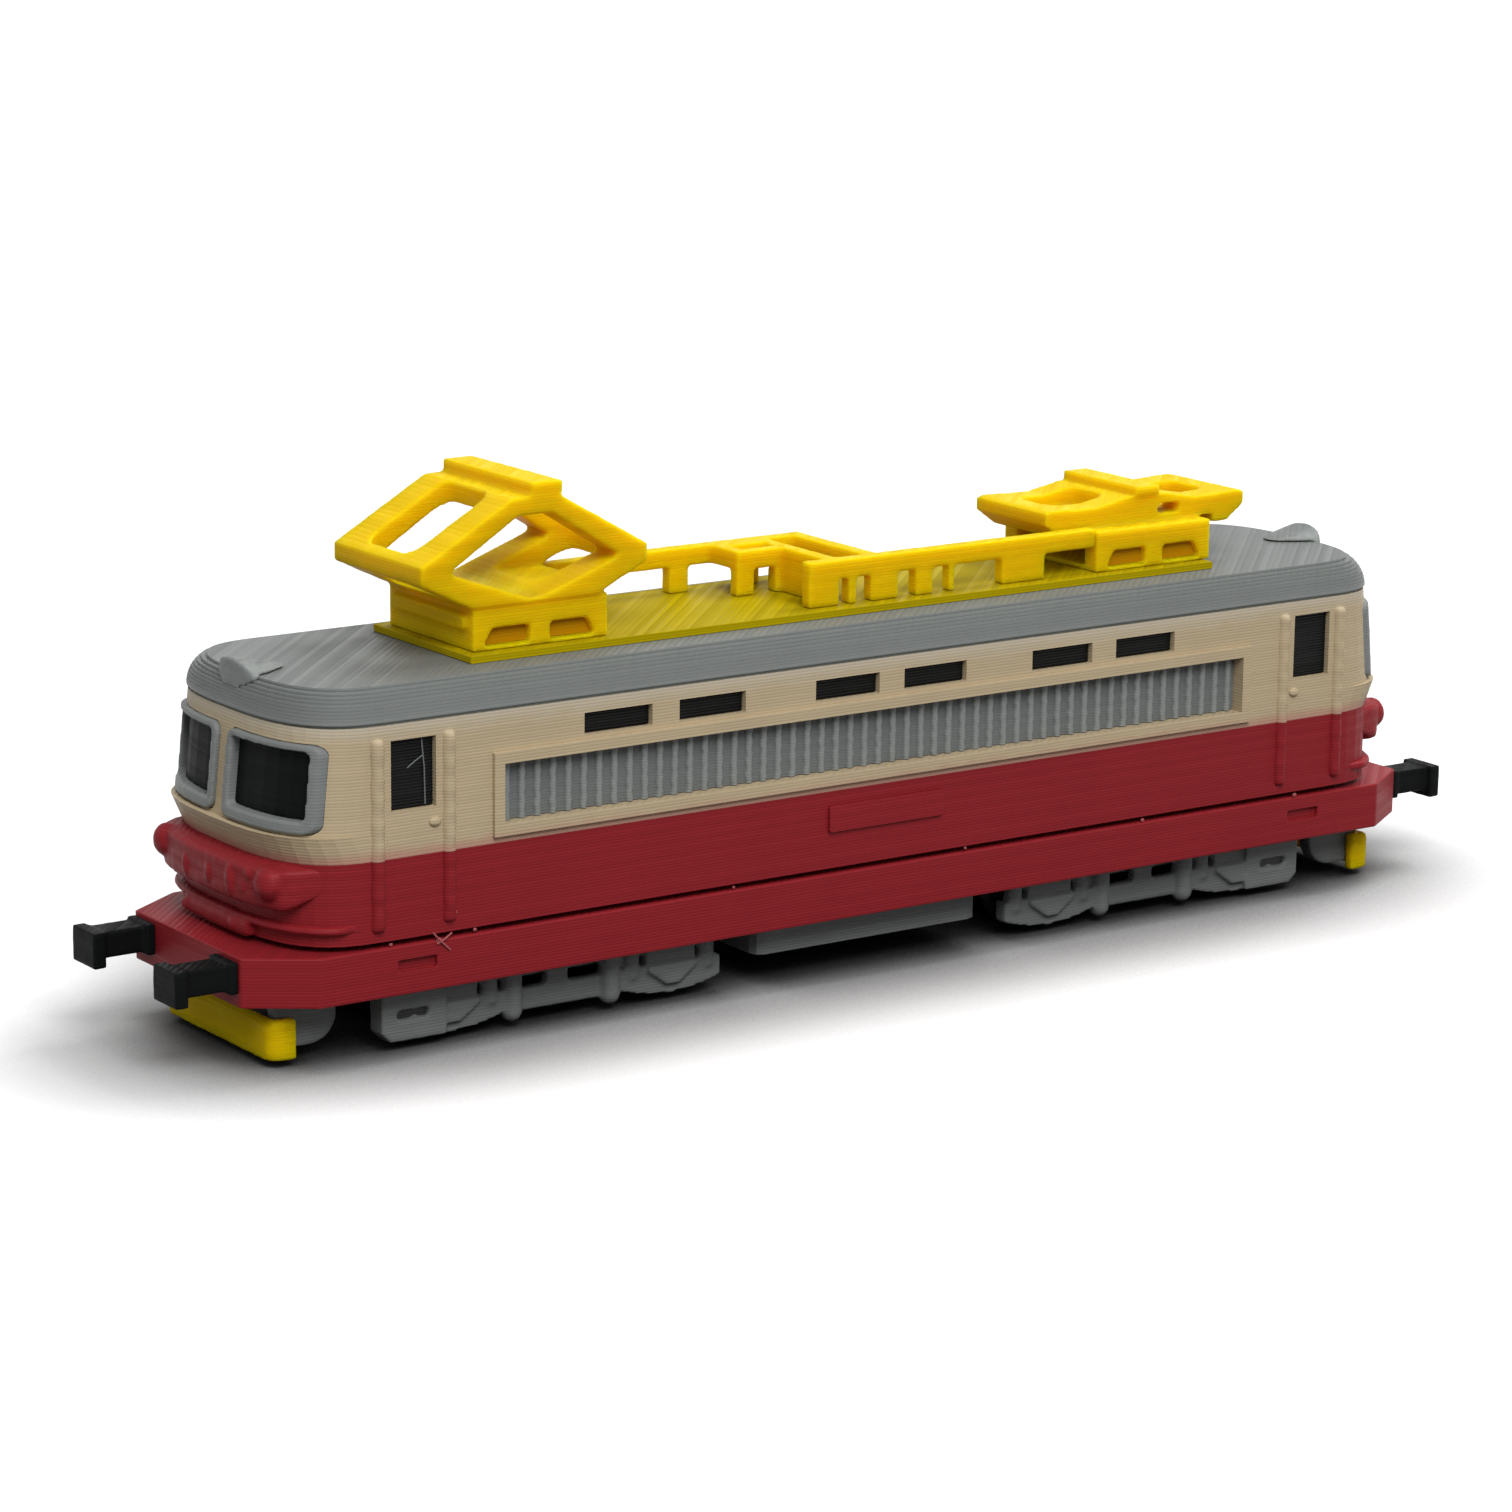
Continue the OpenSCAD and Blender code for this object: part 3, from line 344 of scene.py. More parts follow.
plastics = {
    "red_print": {"color": (0.222, 0.0128, 0.0175), "contrast": 0.22, "specular": 0.12},
    "cream_print": {"color": (0.44, 0.35, 0.222), "rough": 0.52, "contrast": 0.12, "specular": 0.2,
                    # first edge: pink where the red has run into the cream; second edge: a pale band of
                    # painted highlight along the top of the cream body
                    "edges": [((0.40, 0.19, 0.15), 13.0, 0.8, 0.9), ((0.50, 0.46, 0.38), 21.4, 1.1, 0.6)]},
    # level faces kept darker than the sloping shoulders: painted shade on the flat roof top
    "roof_grey_print": {"color": (0.190, 0.203, 0.195), "levelShadeGain": 0.74, "rough": 0.47, "layerDepth": 0.4,
                        "lineDepth": 1.6, "contrast": 0.14, "specular": 0.22},
    "light_grey_print": {"color": (0.172, 0.184, 0.178), "rough": 0.48, "contrast": 0.12, "specular": 0.25},
    "black_print": {"color": (0.0045, 0.005, 0.005), "contrast": 0.6, "specular": 0.04},
    "yellow_print": {"color": (0.70, 0.45, 0.001), "glow": 0.9, "contrast": 0.2, "bump": 0.5,
                     "specular": 0.04},
    "bogie_grey_print": {"color": (0.150, 0.160, 0.155), "contrast": 0.15, "specular": 0.2},
    "wheel_dark": {"color": (0.010, 0.010, 0.011), "rough": 0.4, "specular": 0.3},
    # the same plastics where they are thin, smeared or drawn out, darker copies as painted shade and a
    # lighter copy as a painted highlight
    "thin_yellow_print": {"color": (0.36, 0.275, 0.001), "contrast": 0.25, "lineDepth": 1.6,
                          "specular": 0.03},
    # painted shade in the window pockets of the pantograph bases
    "pocket_shade_yellow_print": {"color": (0.40, 0.19, 0.001), "specular": 0.03},
    # painted shade behind the louvre ridges, and the grey of stray threads
    "thread_and_shade_grey_print": {"color": (0.140, 0.150, 0.147), "rough": 0.55, "contrast": 0.15, "specular": 0.1},
    # painted highlight on the louvre ridges
    "ridge_highlight_grey_print": {"color": (0.205, 0.219, 0.212), "rough": 0.48, "contrast": 0.12, "specular": 0.25},
    "window_black_print": {"color": (0.006, 0.0065, 0.0065), "rough": 0.36, "contrast": 1.3, "mottle": 0.9,
                           "layerDepth": 3.0, "bump": 0.7, "specular": 0.1},
    "pale_red_print": {"color": (0.32, 0.075, 0.08), "specular": 0.2},
}
materials = {name: printedPlastic(name, values) for name, values in plastics.items()}
print("materials ready")


# CAD nodes that stay: rounded edges, and the plastic of their slot unless another one is named
slotOf = {row["node"]: row["material_slot"] for row in frame["record"]["subparts"]}
keptNodes = {
    "rounding": 0.09,        # mm
    "wider": {"battery_box": 0.7, "upper_body": 0.16, "lower_body": 0.14, "underframe": 0.14,
              "nameplates": 0.11},
    "segments": 2,
    "angle": 32,             # degrees, edges that turn more than this are rounded
    "weld": 0.002,           # mm
    "plastics": {"roof_plate": "thin_yellow_print", "side_windows": "window_black_print",
                 "door_windows": "window_black_print"},
}


def dressNode(name, node, s):
    node.data.materials.clear()
    node.data.materials.append(materials[s["plastics"].get(name, slotOf[name])])
    weld = node.modifiers.new("weld", "WELD")
    weld.merge_threshold = s["weld"] * mm
    bevel = node.modifiers.new("bevel", "BEVEL")
    bevel.width = s["wider"].get(name, s["rounding"]) * mm
    bevel.segments = s["segments"]
    bevel.limit_method = "ANGLE"
    bevel.angle_limit = math.radians(s["angle"])
    bevel.use_clamp_overlap = True


for name, node in frame["nodes"].items():
    dressNode(name, node, keptNodes)
print("frame dressed")


# How a made piece joins the model
def smoothFaces(mesh):
    mesh.polygons.foreach_set("use_smooth", [True] * len(mesh.polygons))


def showPiece(name, mesh, body, slotName, nodes, plastic=None):
    mesh.materials.clear()
    mesh.materials.append(materials[plastic or slotName])
    piece = bpy.data.objects.new(name, mesh)
    bpy.context.scene.collection.objects.link(piece)
    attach(piece, body)
    if nodes:
        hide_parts(*nodes)


def finishPiece(name, shape, body, slotName, nodes, smoothAngle=35, plastic=None):
    bmesh.ops.scale(shape, vec=(mm, mm, mm), verts=shape.verts)
    bmesh.ops.recalc_face_normals(shape, faces=shape.faces)
    mesh = bpy.data.meshes.new(name)
    shape.to_mesh(mesh)
    shape.free()
    smoothFaces(mesh)
    mesh.set_sharp_from_angle(angle=math.radians(smoothAngle))
    showPiece(name, mesh, body, slotName, nodes, plastic)


def loft(shape, rings):
    for low, high in zip(rings, rings[1:]):
        for i in range(len(low)):
            j = (i + 1) % len(low)
            shape.faces.new((low[i], low[j], high[j], high[i]))
    shape.faces.new(list(reversed(rings[0])))
    shape.faces.new(rings[-1])


# Roof cap: one soft bead for each printed layer, stepping in towards the flat top
nosePower = 3             # how square the rounded ends of body and roof are in plan
roofCap = {
    "layers": 11,
    "shoulder": 2.1,      # mm, how far the sides round in
    "ends": 1.8,          # mm, how far the ends round in
    "nose": 6.4,          # mm, length of the rounded end in plan
    "noseShrink": 0.6,    # mm, how much shorter it gets towards the top
    "noseSteps": 26,
    "bead": 0.02,         # mm, how far a layer bulges near the top
    "lowestBead": 0.1,    # share of it near the bottom
    "gutter": 0.22,       # mm, depth of the dark groove over the body
    "layerSection": [(0.02, 1.0), (0.25, 0.25), (0.5, 0.0), (0.75, 0.25), (0.98, 1.0)],   # height, set back
}


def nosePlan(halfLength, halfWidth, depth, steps):
    # half outline over one end, from the right side to the left
    points = []
    for i in range(-steps, steps + 1):
        a = math.radians(90 * i / steps)
        x = halfLength - depth + depth * math.cos(a) ** (2 / nosePower)
        y = math.copysign(abs(math.sin(a)) ** (2 / nosePower), i) * halfWidth
        points.append((x, y if i else 0.0))
    return points


def planRing(shape, z, halfLength, halfWidth, depth, steps):
    end = nosePlan(halfLength, halfWidth, depth, steps)
    outline = end + [(-x, -y) for x, y in end]
    return [shape.verts.new((x, y, z)) for x, y in outline]


def makeRoof(s):
    low, high = (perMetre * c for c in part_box("roof"))
    layer = (high.z - low.z) / s["layers"]
    shape = bmesh.new()
    rings = []
    for i in range(s["layers"]):
        share = 1 - math.sqrt(1 - (i / s["layers"]) ** 2)
        for rise, back in s["layerSection"]:
            inset = back * s["bead"] * (s["lowestBead"] + share) if i else s["gutter"]
            halfLength = high.x - s["ends"] * share - inset
            halfWidth = high.y - s["shoulder"] * share - inset
            depth = s["nose"] - s["noseShrink"] * share
            rings.append(planRing(shape, low.z + (i + rise) * layer, halfLength, halfWidth, depth,
                                  s["noseSteps"]))
    loft(shape, rings)
    finishPiece("roofCap", shape, "carbody", "roof_grey_print", ["roof"], smoothAngle=60)


makeRoof(roofCap)
print("roof ready")


# Small printed pieces, run together and softened as hot plastic is
softPrint = {
    "voxel": 0.13,        # mm
    "smooth": 5,
    "lump": 0.05,         # mm, how uneven the surface is
    "lumpSize": 0.9,      # mm
    "weld": 0.002,        # mm
    "baseWidth": 1.1,     # of the pantograph bases, as a share of the CAD width: flush under the arms
}


def addNodes(shape, nodes, s):
    for node in nodes:
        before = len(shape.verts)
        shape.from_mesh(frame["nodes"][node].data)
        shape.verts.ensure_lookup_table()
        if node.startswith("pantograph_base"):
            for vert in shape.verts[before:]:
                vert.co.y *= s["baseWidth"]
    bmesh.ops.scale(shape, vec=(perMetre,) * 3, verts=shape.verts)
    bmesh.ops.remove_doubles(shape, verts=shape.verts, dist=s["weld"])


def lumpTexture(size):
    name = f"lump{size}"
    texture = bpy.data.textures.get(name) or bpy.data.textures.new(name, "CLOUDS")
    texture.noise_scale = size
    return texture


def runTogether(name, nodes, body, s, addShape=None):
    # softens the CAD nodes, or what addShape makes in place of them
    shape = bmesh.new()
    if addShape:
        addShape(shape)
    else:
        addNodes(shape, nodes, s)
    mesh = bpy.data.meshes.new(name)
    shape.to_mesh(mesh)
    shape.free()
    rough = bpy.data.objects.new(name + "Rough", mesh)
    bpy.context.scene.collection.objects.link(rough)
    remesh = rough.modifiers.new("remesh", "REMESH")
    remesh.mode = "VOXEL"
    remesh.voxel_size = s["voxel"]
    soften = rough.modifiers.new("soften", "SMOOTH")
    soften.factor = 0.5
    soften.iterations = s["smooth"]
    uneven = rough.modifiers.new("uneven", "DISPLACE")
    uneven.texture = lumpTexture(s["lumpSize"])
    uneven.strength = s["lump"]
    uneven.mid_level = 0.5
    bpy.context.view_layer.update()
    solid = bpy.data.meshes.new_from_object(rough.evaluated_get(bpy.context.evaluated_depsgraph_get()))
    bpy.data.objects.remove(rough)
    solid.transform(Matrix.Scale(mm, 4))
    smoothFaces(solid)
    showPiece(name, solid, body, slotOf[nodes[0]], nodes)


# Nose: a wedge-shaped lamp band with low raised bits, a thin ledge and a flat panel over the beam, in mm
noseRelief = {
    "tip": 44.45, "half": 9.45, "depth": 6.4,      # plan of the lower body's nose
    "steps": 50,
    "faded": 0.02, "sunk": 0.05,                   # how a band's ends sink into the body
    "tipHeight": 0.6,                              # share of its height that a band keeps at its ends
    # a band goes from -half to half and fades over soft at each end, towards the height called rise
    # section: share of out, height. bits: y, z, half width, half height, how proud
    "bands": [
        {"out": 1.22, "half": 8.6, "soft": 1.8, "rise": 12.4,
         "section": [(-0.4, 10.05), (0.6, 10.08), (0.95, 10.25), (1.0, 10.6), (1.0, 12.35), (0.93, 12.65),
                     (0.35, 12.93), (-0.4, 12.96)],
         "bits": [(-2.46, 11.2, 0.36, 0.7, 0.2), (0.48, 11.35, 0.36, 0.6, 0.18),
                  (3.0, 11.35, 0.45, 1.05, 0.24), (4.7, 12.1, 0.4, 0.35, 0.16),
                  (4.2, 11.2, 0.3, 0.3, 0.12)]},
        {"out": 0.55, "half": 9.43, "soft": 0.5,
         "section": [(-0.4, 8.62), (0.75, 8.66), (1.0, 8.85), (0.8, 9.16), (-0.4, 9.2)],
         "bits": []},
        {"out": 0.68, "half": 4.1, "soft": 0.4,
         "section": [(-0.4, 7.87), (0.9, 7.9), (1.0, 8.1), (1.0, 8.55), (0.85, 8.85), (-0.4, 8.9)],
         "bits": [(2.3, 8.35, 0.4, 0.4, 0.14), (-3.6, 8.3, 0.7, 0.45, 0.14)]},
    ],
    "lamps": {"side": 6.15, "height": 11.8, "radius": 1.1, "deep": 0.9, "out": 1.0},
}


def nosePoint(s, y, out):
    share = min(abs(y) / s["half"], 0.999)
    left = 1 - share ** nosePower
    x = s["tip"] - s["depth"] + s["depth"] * left ** (1 / nosePower)
    slope = s["depth"] / s["half"] * share ** (nosePower - 1) / left ** ((nosePower - 1) / nosePower)
    away = Vector((1, math.copysign(slope, y), 0)).normalized()
    return Vector((x, y, 0)) + away * out


def addBand(shape, s, band):
    widest = math.asin((band["half"] / s["half"]) ** (nosePower / 2))
    rings = []
    for i in range(-s["steps"], s["steps"] + 1):
        y = math.copysign(math.sin(abs(widest * i / s["steps"])) ** (2 / nosePower) * s["half"], i)
        rest = min(max((band["half"] - abs(y)) / band["soft"], 0), 1)
        fade = rest * rest * (3 - 2 * rest)
        keep = s["tipHeight"] + (1 - s["tipHeight"]) * fade
        ring = []
        for share, z in band["section"]:
            out = share
            if share > 0:
                out = share * band["out"] * max(fade, s["faded"]) - s["sunk"] * (1 - fade)
            point = nosePoint(s, y, out)
            heart = band.get("rise", z)
            ring.append(shape.verts.new((point.x, point.y, heart + (z - heart) * keep)))
        rings.append(ring)
    loft(shape, rings)


def addBall(shape, centre, size):
    turn = Matrix.Translation(centre) @ Matrix.Diagonal((*size, 1))
    bmesh.ops.create_uvsphere(shape, u_segments=24, v_segments=16, radius=1, matrix=turn)


def addNose(shape, s, sign):
    part = bmesh.new()
    for band in s["bands"]:
        addBand(part, s, band)
    lamp = s["lamps"]
    for side in (-1, 1):
        centre = nosePoint(s, side * lamp["side"], lamp["out"])
        addBall(part, (centre.x, centre.y, lamp["height"]), (lamp["deep"], lamp["radius"], lamp["radius"]))
    for band in s["bands"]:
        for y, z, wide, tall, proud in band["bits"]:
            centre = nosePoint(s, y, band["out"])
            addBall(part, (centre.x, centre.y, z), (proud, wide, tall))
    bmesh.ops.scale(part, vec=(sign, sign, 1), verts=part.verts)
    bmesh.ops.recalc_face_normals(part, faces=part.faces)
    mesh = bpy.data.meshes.new("nosePart")
    part.to_mesh(mesh)
    part.free()
    shape.from_mesh(mesh)
    bpy.data.meshes.remove(mesh)


for end, sign in (("front", 1), ("rear", -1)):
    runTogether("noseRelief_" + end, ["nose_lamps_" + end], "carbody", {**softPrint, "lump": 0.08},
                addShape=lambda shape: addNose(shape, noseRelief, sign))
print("noses ready")


# Pantographs and roof conductor
for name, end in (("pantographFront", "front"), ("pantographRear", "rear")):
    runTogether(name, [f"pantograph_{part}_{end}" for part in ("base", "arms", "head")], "carbody", softPrint)
runTogether("roofConductor", ["busbar", "switch_box"], "carbody", softPrint)


# Thin plates at the back of the windows in the pantograph bases, in a deeper yellow as painted shade in the
# pockets, in mm
baseWindows = {
    "rib": 0.35,                    # how far the rib on a base's outer end stands out
    "centres": (2.5, -2.4),
    "slants": (-1, 1),              # the end that is cut off slanting
    "half": 1.65, "cut": 0.6,
    "low": 0.3, "high": 1.38,
    "back": 4.62, "thick": 0.1,
}


def makeBaseWindows(s):
    shape = bmesh.new()
    for end, sign in (("front", 1), ("rear", -1)):
        low, high = (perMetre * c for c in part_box("pantograph_base_" + end))
        middle = (low.x + high.x - sign * s["rib"]) / 2
        for side in (-1, 1):
            for centre, slant in zip(s["centres"], s["slants"]):
                left = -s["half"] + (s["cut"] if slant > 0 else 0)
                right = s["half"] - (s["cut"] if slant < 0 else 0)
                outline = [(-s["half"], s["low"]), (s["half"], s["low"]),
                           (right, s["high"]), (left, s["high"])]
                corners = []
                for depth in (s["back"] - s["thick"], s["back"]):
                    for x, z in outline:
                        place = (middle + sign * (centre + x), side * depth, low.z + z)
                        corners.append(shape.verts.new(place))
                bmesh.ops.convex_hull(shape, input=corners)
    finishPiece("baseWindowShade", shape, "carbody", "yellow_print", [], plastic="pocket_shade_yellow_print")


makeBaseWindows(baseWindows)
print("roof gear ready")


# The other softened pieces, each as soft as its size allows
softer = {
    "fairing": {**softPrint, "smooth": 12, "lump": 0.12},
    "bogieSide": {**softPrint, "voxel": 0.14, "smooth": 3},
    "plough": {**softPrint, "smooth": 16},
    "screenFrame": {**softPrint, "smooth": 4},
    "buffer": {**softPrint, "smooth": 3},
}
for end in ("front", "rear"):
    runTogether("headlightFairing_" + end, ["headlight_fairing_" + end], "carbody", softer["fairing"])
for side in ("front_left", "front_right", "rear_left", "rear_right"):
    runTogether("bogieSide_" + side, ["side_frame_" + side], "bogie_" + side.split("_")[0],
                softer["bogieSide"])
for end in ("front", "rear"):
    runTogether("plough_" + end, ["plough_" + end], "carbody", softer["plough"])
    runTogether("ploughBracket_" + end, ["plough_bracket_" + end], "carbody", softPrint)
    runTogether("screenFrames_" + end, ["windscreen_frames_" + end], "carbody", softer["screenFrame"])
    for side in ("left", "right"):
        runTogether(f"buffer_{end}_{side}", [f"buffer_{end}_{side}"], "carbody", softer["buffer"])
print("printed pieces ready")


# Dark plates of painted shade in the slots of the bogies' equipment blocks, in mm
bogieSlots = {
    "x": 35.18, "half": 1.08,           # middle and half length
    "low": 2.06, "high": 2.54,
    "deep": 0.28, "thick": 0.3,         # how far behind the side frame's face, and how thick
}


def makeBogieSlots(s):
    for end, sign in (("front", 1), ("rear", -1)):
        shape = bmesh.new()
        for side, hand in (("left", 1), ("right", -1)):
            low, high = (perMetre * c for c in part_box(f"side_frame_{end}_{side}"))
            face = max(abs(low.y), abs(high.y)) - s["deep"]
            corners = [shape.verts.new((sign * s["x"] + x, hand * y, z)) for x in (-s["half"], s["half"])
                       for y in (face - s["thick"], face) for z in (s["low"], s["high"])]
            bmesh.ops.convex_hull(shape, input=corners)
        # near-black plates that stand in for the shade in the hollow behind each slot
        finishPiece("slotShade_" + end, shape, "bogie_" + end, "wheel_dark", [])


makeBogieSlots(bogieSlots)
print("bogie slots ready")


# Louvre panels: narrow rounded ridges, a little uneven, painted lighter as a highlight, on a back painted
# darker as shade, in mm
louvrePanel = {
    "ribs": 52, "ridge": 0.5, "proud": 0.3,
    "rows": 12, "sides": 8, "bluntness": 0.8,
    "wander": (0.025, 0.015), "swell": 0.12,       # how uneven a ridge is in place and in width
    "recess": 0.15, "backDepth": 0.42, "backThick": 0.5, "sunk": 0.02,
}


def makeLouvres(s):
    low, high = (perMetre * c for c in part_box("louvres"))
    pitch = (high.x - low.x) / s["ribs"]
    face = high.y - s["recess"] - s["backDepth"]
    shape = bmesh.new()
    back = bmesh.new()
    for side in (-1, 1):
        corners = [back.verts.new((x, side * y, z)) for x in (low.x, high.x)
                   for y in (face - s["backThick"], face) for z in (low.z, high.z)]
        bmesh.ops.convex_hull(back, input=corners)
        for i in range(s["ribs"]):
            centre = low.x + pitch * (i + 0.5)
            rings = []
            for row in range(s["rows"] + 1):
                z = low.z + (high.z - low.z) * row / s["rows"]
                wander = (s["wander"][0] * math.sin(7.1 * i + 2.3 * row)
                          + s["wander"][1] * math.sin(3.3 * i * row + i))
                wide = s["ridge"] / 2 * (1 + s["swell"] * math.sin(5.7 * i + 1.9 * row))
                ring = []
                for k in range(s["sides"] + 1):
                    a = math.radians(180 * k / s["sides"])
                    y = face - s["sunk"] + s["proud"] * math.sin(a) ** s["bluntness"]
                    ring.append(shape.verts.new((centre + wander - side * wide * math.cos(a), side * y, z)))
                rings.append(ring)
            loft(shape, rings)
    finishPiece("louvreRidges", shape, "carbody", "light_grey_print", ["louvres"], smoothAngle=60,
                plastic="ridge_highlight_grey_print")
    finishPiece("louvreBack", back, "carbody", "light_grey_print", [], plastic="thread_and_shade_grey_print")


makeLouvres(louvrePanel)
print("louvres ready")


# Handrails beside the doors: low soft ridges, cream above and red below, and a lock on each door, in mm
railRelief = {
    "doorX": 36.25, "gap": 5.06,                   # middle of a door, and from one rail to the other
    "wall": 9.45,                                  # half width of the body
    "wide": 0.92, "proud": 0.4, "sunk": 0.05,
    "ends": 0.4, "endWidth": 0.6,                  # length of a rounded end, and its share of the width
    "step": 0.2, "sides": 10, "sharpness": 1.3,
    "swell": (0.05, 0.06),                         # how uneven a rail is in width and in height
    "upper": (13.02, 20.65), "lower": (8.45, 12.98),
    "lock": (34.75, 9.47, 15.0), "lockSize": (0.42, 0.24, 0.32),
}


def addRail(shape, s, x, side, low, high, roundLow, roundHigh):
    steps = round((high - low) / s["step"])
    rings = []
    for step in range(steps + 1):
        z = low + (high - low) * step / steps
        near = min((z - low) if roundLow else s["ends"], (high - z) if roundHigh else s["ends"], s["ends"])
        full = math.sqrt(max(1 - (1 - near / s["ends"]) ** 2, 0.02))
        wide = s["wide"] / 2 * (s["endWidth"] + (1 - s["endWidth"]) * full)
        wide *= 1 + s["swell"][0] * math.sin(2.9 * z + x)
        proud = s["proud"] * full * (1 + s["swell"][1] * math.sin(4.3 * z - x))
        ring = []
        for k in range(s["sides"] + 1):
            a = math.radians(180 * k / s["sides"])
            y = s["wall"] - s["sunk"] + (proud + s["sunk"]) * math.sin(a) ** s["sharpness"]
            ring.append(shape.verts.new((x - side * wide * math.cos(a), side * y, z)))
        rings.append(ring)
    loft(shape, rings)


def makeRails(s):
    upper = bmesh.new()
    lower = bmesh.new()
    for end in (-1, 1):
        for side in (-1, 1):
            for shift in (-0.5, 0.5):
                x = end * (s["doorX"] + shift * s["gap"])
                addRail(upper, s, x, side, *s["upper"], roundLow=False, roundHigh=True)
                addRail(lower, s, x, side, *s["lower"], roundLow=True, roundHigh=False)
            x, y, z = s["lock"]
            addBall(upper, (end * x, side * y, z), s["lockSize"])
    finishPiece("railsUpper", upper, "carbody", "cream_print", ["handrails_upper"], smoothAngle=60)
    finishPiece("railsLower", lower, "carbody", "red_print", ["handrails_lower"], smoothAngle=60)


makeRails(railRelief)
print("rails ready")


# Threads and blobs that the print head left behind, in mm
strayPlastic = {
    "sides": 8,
    # radius, points along the thread
    "windowThreads": [
        (0.05, [(35.5, 9.12, 20.3), (35.35, 9.2, 18.4), (35.25, 9.12, 16.1)]),
        (0.045, [(35.4, 9.15, 19.2), (36.0, 9.2, 18.9), (36.5, 9.1, 18.5)]),
    ],
    "skirtThreads": [
        (0.07, [(34.95, 9.5, 7.95), (34.5, 9.62, 7.4), (33.75, 9.55, 6.7)]),
        (0.07, [(33.6, 9.5, 7.75), (34.2, 9.62, 7.45), (34.7, 9.55, 7.2)]),
    ],
    # x, y, z, size
    "blobs": [
        (34.5, 9.48, 7.4, 0.22), (31.9, 9.46, 7.7, 0.14), (33.3, 9.42, 9.0, 0.16), (37.9, 9.4, 7.6, 0.13),
        (12.4, 9.45, 7.65, 0.11), (-6.3, 9.45, 7.7, 0.12), (-21.5, 9.45, 7.6, 0.15), (-35.2, 9.45, 7.6, 0.18),
        (28.0, -9.45, 7.65, 0.16), (-14.0, -9.45, 7.7, 0.14), (-33.0, -9.45, 7.6, 0.2),
    ],
    "blobShape": (1.0, 0.45, 0.8),
}


def addThreads(shape, threads, sides):
    for radius, path in threads:
        points = [Vector(p) for p in path]
        rings = []
        for i, point in enumerate(points):
            along = (points[min(i + 1, len(points) - 1)] - points[max(i - 1, 0)]).normalized()
            across = along.cross(Vector((0, 1, 0))).normalized()
            over = across.cross(along)
            ring = []
            for k in range(sides):
                a = math.radians(360 * k / sides)
                ring.append(shape.verts.new(point + radius * (math.cos(a) * across + math.sin(a) * over)))
            rings.append(ring)
        loft(shape, rings)


def makeStray(s):
    onWindow = bmesh.new()
    onSkirt = bmesh.new()
    addThreads(onWindow, s["windowThreads"], s["sides"])
    addThreads(onSkirt, s["skirtThreads"], s["sides"])
    for x, y, z, size in s["blobs"]:
        addBall(onSkirt, (x, y, z), [size * share for share in s["blobShape"]])
    finishPiece("windowThreads", onWindow, "carbody", "black_print", [], smoothAngle=60,
                plastic="thread_and_shade_grey_print")
    finishPiece("skirtBlobs", onSkirt, "carbody", "red_print", [], smoothAngle=60, plastic="pale_red_print")


makeStray(strayPlastic)
print("stray plastic ready")


# floor, backdrop and light
white = (1, 1, 1, 1)
studio = {
    "floorHalf": 3.0,            # m
    "floorColor": 0.86,
    "floorBounce": 0.1,
    "floorGlow": 0.05,           # under the model, rising to farGlow over glowReach
    "farGlow": 1.0,
    "glowReach": (0.15, 0.6),    # m
    "paintedShadowReach": 0.015,       # m, how far the painted shadow darkens the floor round the model
    "paintedShadowDepth": 2.0,
    "paintedShadowSamples": 8,
    "skyLight": 0.42,
    "key": {"power": 2.9, "size": 0.3, "place": (-0.4, -0.06, 0.62)},
    "fill": {"power": 7.5, "size": 0.5, "place": (0.22, 0.62, 0.66)},
}


def seenRays(tree):
    path = addNode(tree, "ShaderNodeLightPath")
    direct = mathNode(tree, "MAXIMUM", path.outputs["Is Camera Ray"], path.outputs["Is Glossy Ray"])
    return mathNode(tree, "MAXIMUM", direct, path.outputs["Is Transmission Ray"])


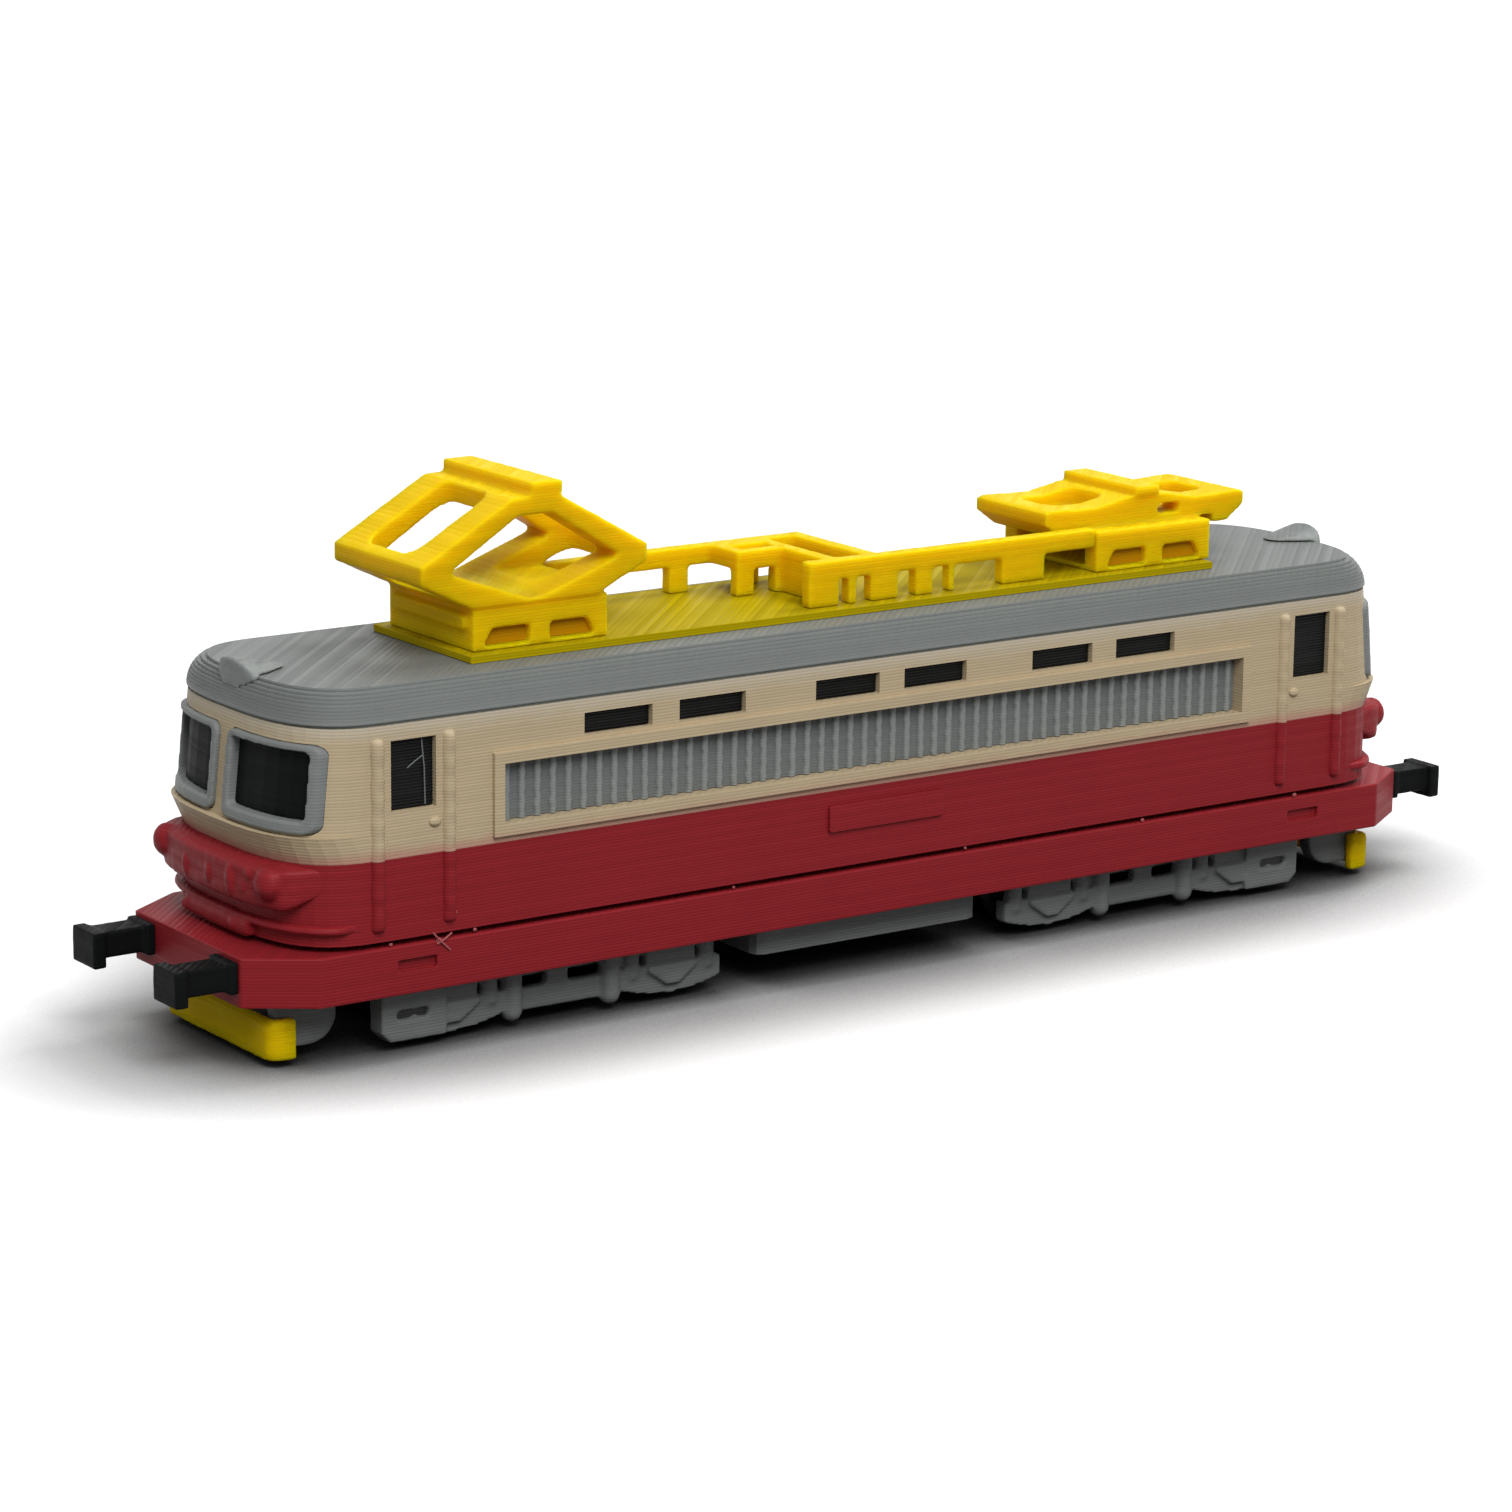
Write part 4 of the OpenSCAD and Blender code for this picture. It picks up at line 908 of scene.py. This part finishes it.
def makeFloor(s):
    material = bpy.data.materials.new("floor")
    material.use_nodes = True
    tree = material.node_tree
    shader = tree.nodes["Principled BSDF"]
    seen = seenRays(tree)
    # painted shadow: ambient occlusion darkens the floor's colour and glow near the model
    near = addNode(tree, "ShaderNodeAmbientOcclusion", {"Distance": s["paintedShadowReach"]},
                   samples=s["paintedShadowSamples"])
    paintedShadow = mathNode(tree, "POWER", near.outputs["AO"], s["paintedShadowDepth"])
    shade = addNode(tree, "ShaderNodeMapRange",
                    {"Value": seen, "To Min": s["floorBounce"], "To Max": s["floorColor"]}).outputs["Result"]
    tree.links.new(mathNode(tree, "MULTIPLY", shade, paintedShadow), shader.inputs["Base Color"])
    place = addNode(tree, "ShaderNodeTexCoord").outputs["Object"]
    away = addNode(tree, "ShaderNodeVectorMath", {0: place}, operation="LENGTH").outputs["Value"]
    glow = addNode(tree, "ShaderNodeMapRange", {
        "Value": away, "From Min": s["glowReach"][0], "From Max": s["glowReach"][1],
        "To Min": s["floorGlow"], "To Max": s["farGlow"],
    }).outputs["Result"]
    glow = mathNode(tree, "MULTIPLY", glow, paintedShadow)
    shader.inputs["Roughness"].default_value = 1.0
    shader.inputs["Specular IOR Level"].default_value = 0.0
    shader.inputs["Emission Color"].default_value = white
    tree.links.new(mathNode(tree, "MULTIPLY", seen, glow), shader.inputs["Emission Strength"])
    mesh = bpy.data.meshes.new("floor")
    half = s["floorHalf"]
    corners = [(-half, -half, 0), (half, -half, 0), (half, half, 0), (-half, half, 0)]
    mesh.from_pydata(corners, [], [(0, 1, 2, 3)])
    mesh.materials.append(material)
    floor = bpy.data.objects.new("floor", mesh)
    bpy.context.scene.collection.objects.link(floor)


def makeWorld(s):
    world = bpy.data.worlds.new("studio")
    bpy.context.scene.world = world
    world.use_nodes = True
    tree = world.node_tree
    tree.nodes.clear()
    soft = addNode(tree, "ShaderNodeBackground", {"Color": white, "Strength": s["skyLight"]})
    seen = addNode(tree, "ShaderNodeBackground", {"Color": white, "Strength": 1.0})
    mix = addNode(tree, "ShaderNodeMixShader", {0: seenRays(tree), 1: soft.outputs[0], 2: seen.outputs[0]})
    out = addNode(tree, "ShaderNodeOutputWorld", {"Surface": mix.outputs[0]})
    out.is_active_output = True


def makeLamp(name, s):
    data = bpy.data.lights.new(name, "AREA")
    data.energy = s["power"]
    data.size = s["size"]
    lamp = bpy.data.objects.new(name, data)
    lamp.location = s["place"]
    lamp.rotation_euler = (-Vector(s["place"])).to_track_quat("-Z", "Y").to_euler()
    bpy.context.scene.collection.objects.link(lamp)


makeFloor(studio)
makeWorld(studio)
for name in ("key", "fill"):
    makeLamp(name, studio[name])
bpy.context.scene.view_settings.view_transform = "Standard"
print("studio ready")
